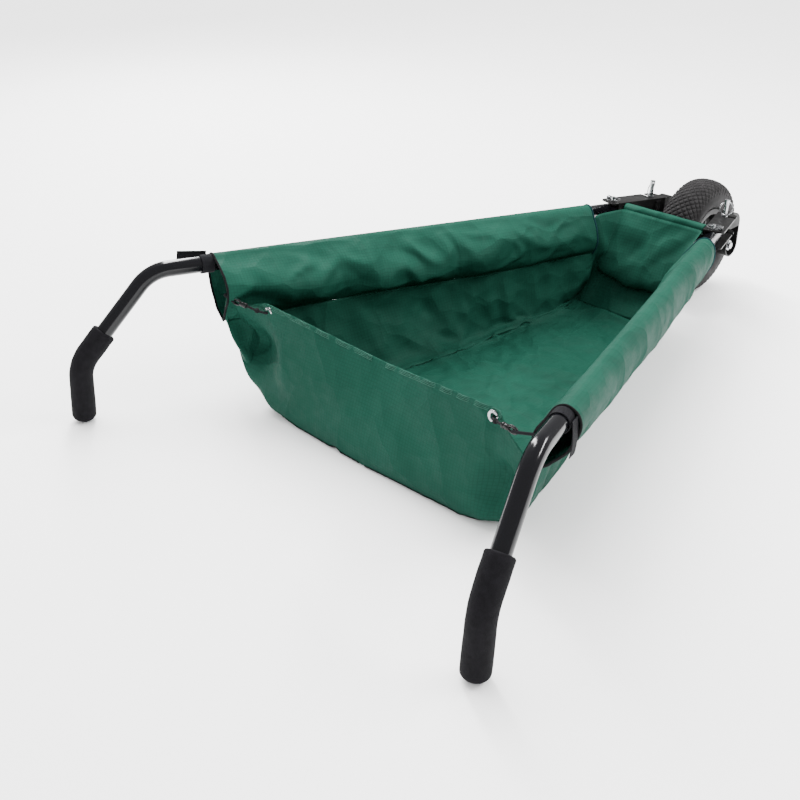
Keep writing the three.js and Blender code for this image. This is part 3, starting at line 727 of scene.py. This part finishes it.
def mouth_point(side, t, x, z):
    """A point on the rim of a sleeve's mouth, at its front (0) or its rear (1)."""
    return arm_point(side, x * MM, SLEEVE_FRONT + (SLEEVE_REAR - SLEEVE_FRONT) * t, z * MM) / MM


def column(*points):
    """A wall's section from the ground up, as points evenly spaced along a smooth curve."""
    curve = catmull([tuple(p) for p in points], 10)
    travel = np.concatenate([[0], np.cumsum(np.linalg.norm(np.diff(curve, axis=0), axis=1))])
    at = np.linspace(0, travel[-1], UP + 1)
    return np.stack([np.interp(at, travel, curve[:, k]) for k in range(3)], axis=1)


def side_column(side, u):
    """The wall's section at a station of the side: 0 at the front corner, 1 at the rear."""
    front, rear = FOOT[side]
    sign = SIDES[side]
    tuck = FOOT_TUCK[side] * math.sin(math.pi * u ** 1.3)
    foot_x = front[0] + (rear[0] - front[0]) * u - sign * tuck
    foot_y = front[1] + (rear[1] - front[1]) * u
    foot = Vector((foot_x, foot_y, GROUND))
    top = seam_point(side, u)
    belly = 1 if side == "left" else (3 + 10 * u ** 3)
    middle = foot.lerp(top, 0.5)
    return column(
        foot,
        (foot.x + sign * (12 + belly * 0.8 + tuck * 0.45), foot.y * 0.94 + top.y * 0.06, 12),
        (middle.x + sign * (belly * 1.2 + tuck * 0.25), middle.y, top.z * 0.42),
        (middle.x * 0.4 + top.x * 0.6 + sign * (belly * 0.7 + tuck * 0.18),
         middle.y * 0.4 + top.y * 0.6, top.z * 0.72),
        top,
    )


def rear_stations():
    """Sections round the rear, from the right corner to the left: cell number and section."""
    right, left = CREASE["right"], ACROSS - CREASE["left"]
    sections = [
        (right // 2, (213, -379, GROUND), (230, -392, 22), (242, -358, 78), (254, -380, 124),
         (263, -389, 163)),
        (right, (186, -387, GROUND), (196, -395, 22), (206, -392, 62), (217, -381, 118), (230, -369, 176)),
        (ACROSS // 2, (10, -395, GROUND), (10, -397, 24), (9, -389, 66), (7, -373, 112), (5, -352, 157)),
        (left, (-145, -391, GROUND), (-155, -397, 26), (-172, -394, 74), (-196, -382, 128),
         (-228, -369, 178)),
        (left + 4, (-184, -385, GROUND), (-204, -398, 20), (-234, -388, 58), (-252, -348, 96),
         (-260, -370, 136), (-252, -384, 171)),
        (ACROSS - 2, (-208, -376, GROUND), (-236, -386, 26), (-276, -388, 56), (-312, -368, 92),
         mouth_point("left", 1, -58, -30)),
    ]
    inner = [(cell, column(*points)) for cell, *points in sections]
    return [(0, side_column("right", 1)), *inner, (ACROSS, side_column("left", 1))]


def front_stations():
    """Sections across the front, from the left corner to the right: cell number and section."""
    hem_y, hem_z = (BRIDGE_Y - BRIDGE_R) / MM - 2.2, BRIDGE_Z / MM + 1
    sections = [
        (3, (-108, 301, GROUND), (-110, 312, 30), (-106, 316, 70), (-90, 312, 105),
         mouth_point("left", 0, -37, -36)),
        (6, (-98, 301, GROUND), (-102, 322, 38), (-100, 330, 74), (-84, 322, 118),
         mouth_point("left", 0, -20, 1)),
        (9, (-86, 300, GROUND), (-88, 330, 34), (-92, 348, 64), (-84, 324, 72), (-80, 340, 128),
         (-84, hem_y, hem_z)),
        (ACROSS // 2, (-24, 299, GROUND), (-24, 326, 30), (-24, 349, 54), (-24, 322, 58), (-14, 346, 112),
         (0, hem_y, hem_z)),
        (ACROSS - 9, (42, 297, GROUND), (44, 322, 30), (48, 344, 56), (52, 330, 66), (66, 350, 118),
         (84, hem_y, hem_z)),
        (ACROSS - 5, (54, 298, GROUND), (58, 312, 30), (66, 322, 64), (76, 322, 100),
         mouth_point("right", 0, -22, 0)),
    ]
    inner = [(cell, column(*points)) for cell, *points in sections]
    return [(0, side_column("left", 0)), *inner, (ACROSS, side_column("right", 0))]


def between(stations, cell):
    """The section at a cell, eased between the two given sections beside it."""
    for (a, first), (b, second) in zip(stations, stations[1:]):
        if a <= cell <= b:
            return first + (second - first) * ((cell - a) / (b - a))
    return stations[-1][1]


def perimeter():
    """The sections round the whole tub, from the right front corner back, across and forwards."""
    rear, front = rear_stations(), front_stations()
    columns = [side_column("right", i / ALONG) for i in range(ALONG)]
    columns += [between(rear, i) for i in range(ACROSS)]
    columns += [side_column("left", 1 - i / ALONG) for i in range(ALONG)]
    columns += [between(front, i) for i in range(ACROSS)]
    return [[Vector(p) * MM for p in section] for section in columns]


def half_of(column_index):
    """Which half of the tub a perimeter cell is in: 1 right, 0 left."""
    rear_middle = ALONG + ACROSS // 2
    front_middle = 2 * ALONG + ACROSS + ACROSS // 2
    return 0 if rear_middle <= column_index < front_middle else 1


class Tub:
    """The whole tub as one sheet: a floor grid and a wall that runs right round it."""

    def __init__(self):
        columns = perimeter()
        self.columns = len(columns)
        self.verts, self.uvs, self.faces, self.halves = [], [], [], []
        self.columns_at = columns
        for r in range(UP + 1):
            self.verts += [section[r] for section in columns]
        self.add_walls()
        self.add_floor()

    def wall(self, c, r):
        return r * self.columns + c % self.columns

    def add_walls(self):
        for r in range(UP):
            for c in range(self.columns):
                corners = ((c, r), (c + 1, r), (c + 1, r + 1), (c, r + 1))
                self.faces.append(tuple(self.wall(*corner) for corner in corners))
                self.halves.append(half_of(c))

    def floor_vertex(self, i, j):
        """i runs from front to rear, j from right to left. The rim belongs to the wall."""
        if j == 0:
            return self.wall(i, 0)
        if i == ALONG:
            return self.wall(ALONG + j, 0)
        if j == ACROSS:
            return self.wall(2 * ALONG + ACROSS - i, 0)
        if i == 0:
            return self.wall(-j, 0)
        return self.inner[(i, j)]

    def add_floor(self):
        self.inner = {}
        right = [self.columns_at[i][0] for i in range(ALONG + 1)]
        left = [self.columns_at[2 * ALONG + ACROSS - i][0] for i in range(ALONG + 1)]
        rear = [self.columns_at[ALONG + j][0] for j in range(ACROSS + 1)]
        front = [self.columns_at[-j][0] for j in range(ACROSS + 1)]
        front[ACROSS] = self.columns_at[2 * ALONG + ACROSS][0]
        for i in range(1, ALONG):
            for j in range(1, ACROSS):
                u, v = i / ALONG, j / ACROSS
                sides = right[i].lerp(left[i], v)
                ends = front[j].lerp(rear[j], u)
                corners = front[0].lerp(front[ACROSS], v).lerp(rear[0].lerp(rear[ACROSS], v), u)
                self.inner[(i, j)] = len(self.verts)
                self.verts.append(sides + ends - corners)
        for i in range(ALONG):
            for j in range(ACROSS):
                self.faces.append((
                    self.floor_vertex(i, j), self.floor_vertex(i + 1, j),
                    self.floor_vertex(i + 1, j + 1), self.floor_vertex(i, j + 1),
                ))
                self.halves.append(1 if j < ACROSS // 2 else 0)

    def build(self):
        obj = mesh_object("tub", self.verts, self.faces, GREEN)
        half = obj.data.attributes.new("half", "INT", "FACE")
        half.data.foreach_set("value", self.halves)
        layer = obj.data.uv_layers.new(name="cloth")
        wall_faces = UP * self.columns
        for polygon in obj.data.polygons:
            for loop in polygon.loop_indices:
                place = obj.data.vertices[obj.data.loops[loop].vertex_index].co
                if polygon.index >= wall_faces:
                    layer.data[loop].uv = (place.x, place.y)
                else:
                    n = polygon.normal
                    facing_rear = abs(n.y) > abs(n.x)
                    layer.data[loop].uv = (place.x if facing_rear else place.y, place.z * 1.1)
        return obj


def rumpled(obj, tub):
    """Gives the cloth the creases that it was packed with, before it settles."""
    rear = range(ALONG - 2, ALONG + ACROSS + 3)
    taut = range(ALONG + CREASE["right"], ALONG + ACROSS - CREASE["left"] + 1)
    for v in obj.data.vertices:
        row, c = v.index // tub.columns, v.index % tub.columns
        if row > UP:
            flat = Vector((v.co.x, v.co.y, 0))
            long_folds = max(0.0, creases(flat, 0.16, 4.0))
            v.co.z += 0.022 * long_folds + 0.007 * max(0.0, creases(flat, 0.06, 2.0))
            continue
        loose = min(1.0, max(0, UP - row) / 4, row / 7)
        if c in rear:
            loose *= 0.08 if c in taut else 0.4
        sway = creases(v.co, 0.14, 2.0) + 0.4 * creases(v.co, 0.06, 6.0)
        v.co += v.normal * 0.015 * sway * loose


def pinned(tub):
    """Vertices that are sewn to a sleeve, wrapped round the bridge or held by an eyelet."""
    pins = {}
    for c in range(ALONG + 1):
        pins[tub.wall(c, UP)] = 1.0
        pins[tub.wall(2 * ALONG + ACROSS - c, UP)] = 1.0
    for c in range(2 * ALONG + ACROSS, 2 * ALONG + 2 * ACROSS):
        for r in range(UP + 1):
            pins[tub.wall(c, r)] = 1.0
    for c in range(ALONG, ALONG + ACROSS + 1):
        for r in range(UP + 1):
            pins[tub.wall(c, r)] = 0.97
    for corner in (ALONG + CREASE["right"], ALONG + ACROSS - CREASE["left"]):
        for r in (UP, UP - 1, UP - 2):
            pins[tub.wall(corner, r)] = 1.0
    for c in (ALONG + ACROSS - 2, ALONG + ACROSS - 1):
        pins[tub.wall(c, UP)] = 1.0
    return pins


DRAPE_FRAMES = 34


def drape(obj, pins):
    """Lets the cloth settle on the ground and hang from its pins."""
    group = obj.vertex_groups.new(name="pins")
    for index, weight in pins.items():
        group.add([index], weight, "REPLACE")
    ground = mesh_object("ground", [(-1, -1, 0), (1, -1, 0), (1, 1, 0), (-1, 1, 0)], [(0, 1, 2, 3)])
    ground.modifiers.new("collision", "COLLISION")
    ground.collision.thickness_outer = 0.001
    cloth = obj.modifiers.new("cloth", "CLOTH")
    settings = cloth.settings
    settings.quality = 7
    settings.mass = 0.25
    settings.tension_stiffness = 35
    settings.compression_stiffness = 35
    settings.shear_stiffness = 12
    settings.bending_stiffness = 0.9
    settings.tension_damping = 12
    settings.compression_damping = 12
    settings.shear_damping = 12
    settings.air_damping = 4
    settings.shrink_min = -0.02
    settings.vertex_group_mass = "pins"
    settings.pin_stiffness = 1
    cloth.collision_settings.distance_min = 0.001
    cloth.point_cache.frame_start = 1
    cloth.point_cache.frame_end = DRAPE_FRAMES
    scene = bpy.context.scene
    for number in range(1, DRAPE_FRAMES + 1):
        scene.frame_set(number)
    baked(obj)
    scene.frame_set(1)
    bpy.data.objects.remove(ground)
    return obj


def follow_arm(obj):
    """Bakes a piece's transform into its mesh."""
    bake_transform(obj)


def close_split(bm, source, count):
    """Joins the cloth's two faces along the cut; a vertex and its partner are count apart."""
    by_source = {v[source]: v for v in bm.verts}
    for edge in [e for e in bm.edges if e.is_boundary]:
        loop = edge.link_loops[0]
        a, b = loop.vert, loop.link_loop_next.vert
        if max(a[source], b[source]) < count:
            bm.faces.new((b, a, by_source[a[source] + count], by_source[b[source] + count]))


def split_half(whole, side):
    """One half of the finished tub, with the whole tub's shading kept along the split."""
    keep = 1 if side == "right" else 0
    mesh = whole.data.copy()
    normals = np.array([v.vector[:] for v in mesh.vertex_normals])
    marker = mesh.attributes.new("source", "INT", "POINT")
    marker.data.foreach_set("value", list(range(len(mesh.vertices))))
    bm = bmesh.new()
    bm.from_mesh(mesh)
    layer = bm.faces.layers.int["half"]
    gone = [f for f in bm.faces if f[layer] != keep]
    bmesh.ops.delete(bm, geom=gone, context="FACES")
    close_split(bm, bm.verts.layers.int["source"], len(mesh.vertices) // 2)
    bm.to_mesh(mesh)
    bm.free()
    source = np.zeros(len(mesh.vertices), np.int32)
    mesh.attributes["source"].data.foreach_get("value", source)
    mesh.attributes.remove(mesh.attributes["source"])
    mesh.attributes.remove(mesh.attributes["half"])
    mesh.normals_split_custom_set_from_vertices([tuple(normals[i]) for i in source])
    obj = bpy.data.objects.new(f"tub_cloth_{side}", mesh)
    bpy.context.scene.collection.objects.link(obj)
    return obj


def cloth_line(name, route, radius, material):
    """A thread, or a thin black line of painted shadow, laid along the tub, split where the two halves
    meet.
    """
    for side, sign in SIDES.items():
        part = [p for p in route if p.x * sign > -0.0005]
        if len(part) < 3:
            continue
        line = swept(f"{name}_{side}", even(part, 0.006), [radius] * len(even(part, 0.006)), 6, material)
        follow_arm(line)


FLAP_THREADS = (0.10, 0.32, 0.55, 0.80)  # rows of stitching below the flap's edge, in cells


def sewn_lines(tub, place):
    """The flap's hem stitching, and a black line round the rear's foot that is painted contact shadow where
    the cloth meets the floor.
    """
    def at(c, r):
        low = int(r)
        return place[tub.wall(c, low)].lerp(place[tub.wall(c, min(low + 1, UP))], r - low)

    rearwards = Vector((0, -0.0006, 0))
    flap = range(ALONG + CREASE["right"] - 1, ALONG + ACROSS - CREASE["left"] + 2)
    for k, drop in enumerate(FLAP_THREADS):
        cloth_line(f"hem_thread_{k + 1}", [at(c, UP - drop) + rearwards for c in flap], 0.00035, THREAD)
    # A black line just above the floor round the rear's foot: painted contact shadow where the cloth meets
    # the floor.
    foot = range(ALONG - 10, ALONG + ACROSS + 11)
    cloth_line("painted_foot_shadow", [at(c, 0.1) + rearwards for c in foot], 0.0011, BLACK_TAPE_AND_SHADOW_LINE)


def make_tub():
    tub = Tub()
    obj = tub.build()
    rumpled(obj, tub)
    drape(obj, pinned(tub))
    sewn_lines(tub, [v.co.copy() for v in obj.data.vertices])
    smooth = obj.modifiers.new("smooth", "SUBSURF")
    smooth.levels = smooth.render_levels = 1
    shell = obj.modifiers.new("cloth", "SOLIDIFY")
    shell.thickness = 0.0008
    shell.offset = 0
    baked(obj)
    for side in SIDES:
        half = split_half(obj, side)
        follow_arm(half)
        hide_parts(f"side_panel_{side}")
        if side == "right":
            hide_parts("floor_panel", "front_panel", "rear_flap")
    bpy.data.objects.remove(obj)


def hem_roll():
    """The front wall's hem, wrapped round the bridge tube."""
    columns, rows = 22, 60
    verts = []
    for i in range(rows + 1):
        x = -HEM_X + 2 * HEM_X * i / rows
        for k in range(columns):
            a = 2 * math.pi * k / columns
            r = BRIDGE_R + 0.0016 + 0.0006 * noise.noise(Vector((x * 40, a, 0)))
            verts.append((x, BRIDGE_Y + r * math.cos(a), BRIDGE_Z + r * math.sin(a)))
    faces = grid_faces(rows + 1, columns, close_columns=True)
    piece = recalc(mesh_object("hem_cloth", verts, faces, GREEN))
    girth = 2 * math.pi * (BRIDGE_R + 0.0016)
    uvs = [(2 * HEM_X * i / rows, girth * k / columns) for i in range(rows + 1) for k in range(columns)]
    with_uv(piece, uvs)
    shell = piece.modifiers.new("cloth", "SOLIDIFY")
    shell.thickness = 0.0009
    fit(piece, "green_ripstop", "frame", "front_hem")


# ---- flap cords and hooks --------------------------------------------------------------------
def cord_route(side):
    offsets = [(0, 5, 0), (0, 0, 0), (3, -5, 0.5), (8, -9, 2), (15, -13, 4), (22, -16, 6), (29, -19, 8)]
    return [
        Vector(((EYELET.x + dx * MM) * SIDES[side], EYELET.y + dy * MM, EYELET.z + dz * MM))
        for dx, dy, dz in offsets
    ]


def flap_fastening(side):
    """An elastic cord from the eyelet, with a knot, and a plastic snap on the sleeve's loop."""
    points = cord_route(side)
    fine = [Vector(p) for p in catmull(points, 6)]
    cord = swept(f"elastic_cord_{side}", fine, [0.00185] * len(fine), 14, CORD)
    sign = SIDES[side]
    start = points[-1]
    rise, turn = math.radians(8), math.radians(12)
    way = Vector((math.cos(rise) * math.cos(turn) * sign, -math.cos(rise) * math.sin(turn), math.sin(rise)))
    up = (Vector((0, 0, 1)) - way * way.z).normalized()
    out = (way.cross(up) * sign).normalized()
    knots = []
    for k, (place, size) in enumerate(((points[0] + Vector((0, 0.002, 0)), 0.0042),
                                       (points[4] - way * 0.002, 0.0036))):
        bm = bmesh.new()
        bmesh.ops.create_icosphere(bm, subdivisions=3, radius=size)
        for v in bm.verts:
            v.co *= 1 + 0.16 * math.sin(v.co.x * 1400 + v.co.z * 900)
        mesh = bpy.data.meshes.new(f"cord_knot_{k + 1}_{side}")
        bm.to_mesh(mesh)
        bm.free()
        mesh.materials.append(CORD)
        mesh.polygons.foreach_set("use_smooth", [True] * len(mesh.polygons))
        knot = bpy.data.objects.new(mesh.name, mesh)
        knot.location = place
        bpy.context.scene.collection.objects.link(knot)
        knots.append(knot)
    barrel_route = [start + way * s for s in (0.0002, 0.001, 0.0045, 0.005, 0.0058, 0.0065, 0.0125, 0.0135)]
    barrel = swept(f"hook_barrel_{side}", barrel_route,
                   [0.0028, 0.0042, 0.0042, 0.0034, 0.0034, 0.0040, 0.0038, 0.0026], 20, PLASTIC,
                   up=out)
    eye_points = []
    for k in range(33):
        a = 2 * math.pi * k / 32
        eye_points.append(start + way * (0.0205 + 0.0085 * math.cos(a)) + up * 0.0045 * math.sin(a))
    eye = swept(f"hook_eye_{side}", eye_points, [0.0018] * 33, 12, PLASTIC, up=out, capped=False)
    gate_route = [start + way * 0.013 + up * 0.0032, start + way * 0.027 + up * 0.0005]
    gate = swept(f"hook_gate_{side}", gate_route, [0.0011, 0.0011], 10, PLASTIC, up=out)
    tip = start + way * 0.0265
    rim = mouth_point(side, 1, -31 if side == "right" else -58, -32) * MM
    loop_route = catmull([tip - way * 0.003, tip + out * 0.003, rim + Vector((0, -0.003, 0)), rim], 5)
    loop = swept(f"sleeve_tab_{side}", [Vector(p) for p in loop_route], [0.0021] * 16, 10, WEBBING, up=out)
    for knot in knots:
        knot.data.transform(Matrix.Translation(knot.location))
        knot.location = (0, 0, 0)
    for piece in (cord, barrel, eye, gate, loop, *knots):
        follow_arm(piece)
    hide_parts(f"flap_cord_{side}")
    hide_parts(f"flap_hook_{side}")
    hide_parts(f"hook_loop_{side}")


def eyelet(side):
    """A rolled zinc ring through the flap's corner."""
    profile = []
    for k in range(15):
        a = math.pi * k / 14
        profile.append((0.0020 * math.cos(a), 0.0066 - 0.0020 * math.sin(a)))
    for k in range(1, 7):
        a = math.pi * k / 7
        profile.append((-0.0020 + 0.0004 * math.sin(a), 0.0066 + 0.0024 * k / 7))
    profile += [(-0.0008, 0.0090), (0.0008, 0.0090)]
    profile += [(0.0020 + 0.0003 * math.sin(math.pi * k / 5), 0.0090 - 0.0024 * k / 5) for k in range(1, 5)]
    ring = lathe(f"eyelet_ring_{side}", profile, 40, (0, 0, 0), ZINC)
    ring.data.transform(Matrix.Rotation(math.pi / 2, 4, "Z"))
    ring.data.transform(Matrix.Translation((EYELET.x * SIDES[side], EYELET.y, EYELET.z)))
    follow_arm(ring)
    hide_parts(f"flap_eyelet_{side}")


# ---- wheel -----------------------------------------------------------------------------------
TREAD_TURNS = 640
BLOCK_PITCH = 0.0125
GROOVE = 0.0030


def tyre():
    """A tyre whose crown carries rows of diamond blocks."""
    outside = [(-26.6, 52), (-26.6, 60.4), (-31, 63), (-34, 69), (-35, 80), (-32.6, 94), (-27.5, 101.8),
               (-20, 106.6), (-10, 109.3), (0, 110)]
    outside += [(-x, r) for x, r in reversed(outside[:-1])]
    profile = catmull(outside, 8) * MM
    steps = np.concatenate([[0], np.cumsum(np.linalg.norm(np.diff(profile, axis=0), axis=1))])
    total = steps[-1]
    samples = np.linspace(0, total, 150)
    x = np.interp(samples, steps, profile[:, 0])
    r = np.interp(samples, steps, profile[:, 1])
    middle = total / 2
    around = 2 * math.pi * WHEEL_R
    pitch = around / round(around / BLOCK_PITCH)
    across = samples - middle
    tread = np.clip((0.047 - np.abs(across)) / 0.004, 0, 1)
    verts = []
    for k in range(TREAD_TURNS):
        a = 2 * math.pi * k / TREAD_TURNS
        s = around * k / TREAD_TURNS
        first = np.abs((s + across) / pitch - np.round((s + across) / pitch)) * pitch
        second = np.abs((s - across) / pitch - np.round((s - across) / pitch)) * pitch
        gap = np.minimum(first, second) / math.sqrt(2)
        cutting = 1 - np.clip((gap - 0.0007) / 0.0007, 0, 1)
        depth = cutting * tread * GROOVE
        radius = r - depth * 0.9
        for xi, ri in zip(x, radius):
            verts.append((xi, AXLE_Y + ri * math.sin(a), WHEEL_R - ri * math.cos(a)))
    faces = grid_faces(TREAD_TURNS, len(samples), close_rows=True)
    carcass = mesh_object("tyre_tread", verts, faces, TYRE)
    shell = carcass.modifiers.new("wall", "SOLIDIFY")
    shell.thickness = 0.004
    shell.offset = -1
    recalc(carcass)
    fit(carcass, "tyre_rubber", "wheel", "tyre")


def rim(side):
    """A stamped half rim: a bead flange, a well and a ribbed disc."""
    flange = [(27, 50.8), (27.1, 58.6), (27.9, 60), (28.9, 60), (29.6, 58.6), (29.4, 49.2), (24, 47.4),
              (12, 46.2), (7.5, 44), (5.4, 40), (5.6, 36), (4.2, 33.5), (2.4, 31), (2.4, 19.9), (0.2, 19.9),
              (0.2, 49.5)]
    sign = SIDES[side]
    profile = [(x * MM * sign, r * MM) for x, r in flange]
    disc = lathe(f"rim_{side}", profile, 96, (0, AXLE_Y, WHEEL_R), STAMPING)
    soften(disc, 0.0006, 2, 25)
    fit(disc, "black_bracket", "wheel", f"rim_half_{side}")


# ---- the rest of the metalwork ---------------------------------------------------------------
def metalwork():
    for side in SIDES:
        repaint(STAMPING, f"fork_arm_{side}", bevel=0.0008)
        repaint(ZINC, f"lock_pin_{side}", f"pivot_pin_{side}", f"pivot_clip_{side}", bevel=0.0004)
        repaint(ZINC, f"lock_pin_ring_{side}", f"pivot_clip_ring_{side}")
        for name in (f"lock_pin_ring_{side}", f"pivot_clip_ring_{side}"):
            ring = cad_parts[name]
            ring.data.polygons.foreach_set("use_smooth", [True] * len(ring.data.polygons))
            smooth = ring.modifiers.new("smooth", "SUBSURF")
            smooth.levels = smooth.render_levels = 2
        repaint(PLASTIC, f"tube_plug_{side}", bevel=0.0005)
        repaint(STEEL, f"wheel_bearing_{side}", bevel=0.0003)
        repaint(ZINC, f"axle_spacer_{side}", bevel=0.0004)
    repaint(PAINT, "fork_bridge", bevel=0.0004)
    repaint(STAMPING, "hub_tube", bevel=0.0004)
    repaint(ZINC, "axle_bolt", "axle_nut", "axle_washer", bevel=0.0006)
    bolts = [f"rim_{part}_{i}" for part in ("bolt", "nut") for i in range(1, 5)]
    repaint(ZINC, *bolts, bevel=0.0004)
    repaint(TUBE_RUBBER, "inner_tube", "valve_stem", bevel=0.0003)
    repaint(PLASTIC, "valve_cap", bevel=0.0003)


# ---- studio ----------------------------------------------------------------------------------
LIGHTS_AIM = Vector((0, 0, 0.1))
SKY_DIFFUSE = 1.85
SKY_GLOSSY = 0.6  # the sky as a mirror sees it, darker so that black paint stays black


def area_light(name, place, size, power):
    data = bpy.data.lights.new(name, "AREA")
    data.shape = "RECTANGLE"
    data.size, data.size_y = size
    data.energy = power
    light = bpy.data.objects.new(name, data)
    light.location = place
    aim = LIGHTS_AIM - Vector(place)
    light.rotation_euler = aim.to_track_quat("-Z", "Y").to_euler()
    bpy.context.scene.collection.objects.link(light)


def studio():
    ground = mesh_object("studio_floor", [(-15, -15, 0), (15, -15, 0), (15, 15, 0), (-15, 15, 0)],
                         [(0, 1, 2, 3)])
    f = Finish("studio_floor", (0.92, 0.92, 0.92), 0.8)
    f.spread(f.noise(3, 2), 0.70, 0.80, "Roughness")
    ground.data.materials.append(f.material)
    world = bpy.data.worlds.new("studio")
    bpy.context.scene.world = world
    world.use_nodes = True
    sky = world.node_tree.nodes["Background"]
    sky.inputs["Color"].default_value = (1.0, 1.0, 1.0, 1)
    tree = world.node_tree
    rays = tree.nodes.new("ShaderNodeLightPath")
    dim = tree.nodes.new("ShaderNodeMapRange")
    dim.inputs["To Min"].default_value = SKY_DIFFUSE
    dim.inputs["To Max"].default_value = SKY_GLOSSY
    tree.links.new(rays.outputs["Is Glossy Ray"], dim.inputs["Value"])
    tree.links.new(dim.outputs["Result"], sky.inputs["Strength"])
    data = bpy.data.lights.new("sun", "SUN")
    data.energy = 7.0
    data.angle = math.radians(60)
    sun = bpy.data.objects.new("sun", data)
    sun.visible_glossy = False
    sun.rotation_euler = (math.radians(-18), math.radians(-30), 0)
    bpy.context.scene.collection.objects.link(sun)
    area_light("window", (-1.6, 0.6, 1.8), (0.35, 2.4), 110)
    area_light("strip", (1.4, 1.4, 1.9), (1.8, 0.2), 90)


studio()
for side in SIDES:
    arm_tube(side)
    grip(side)
    strap(side)
    sleeve(side)
    flap_fastening(side)
    eyelet(side)
    rim(side)
tyre()
metalwork()
hem_roll()
make_tub()

bpy.context.view_layer.update()
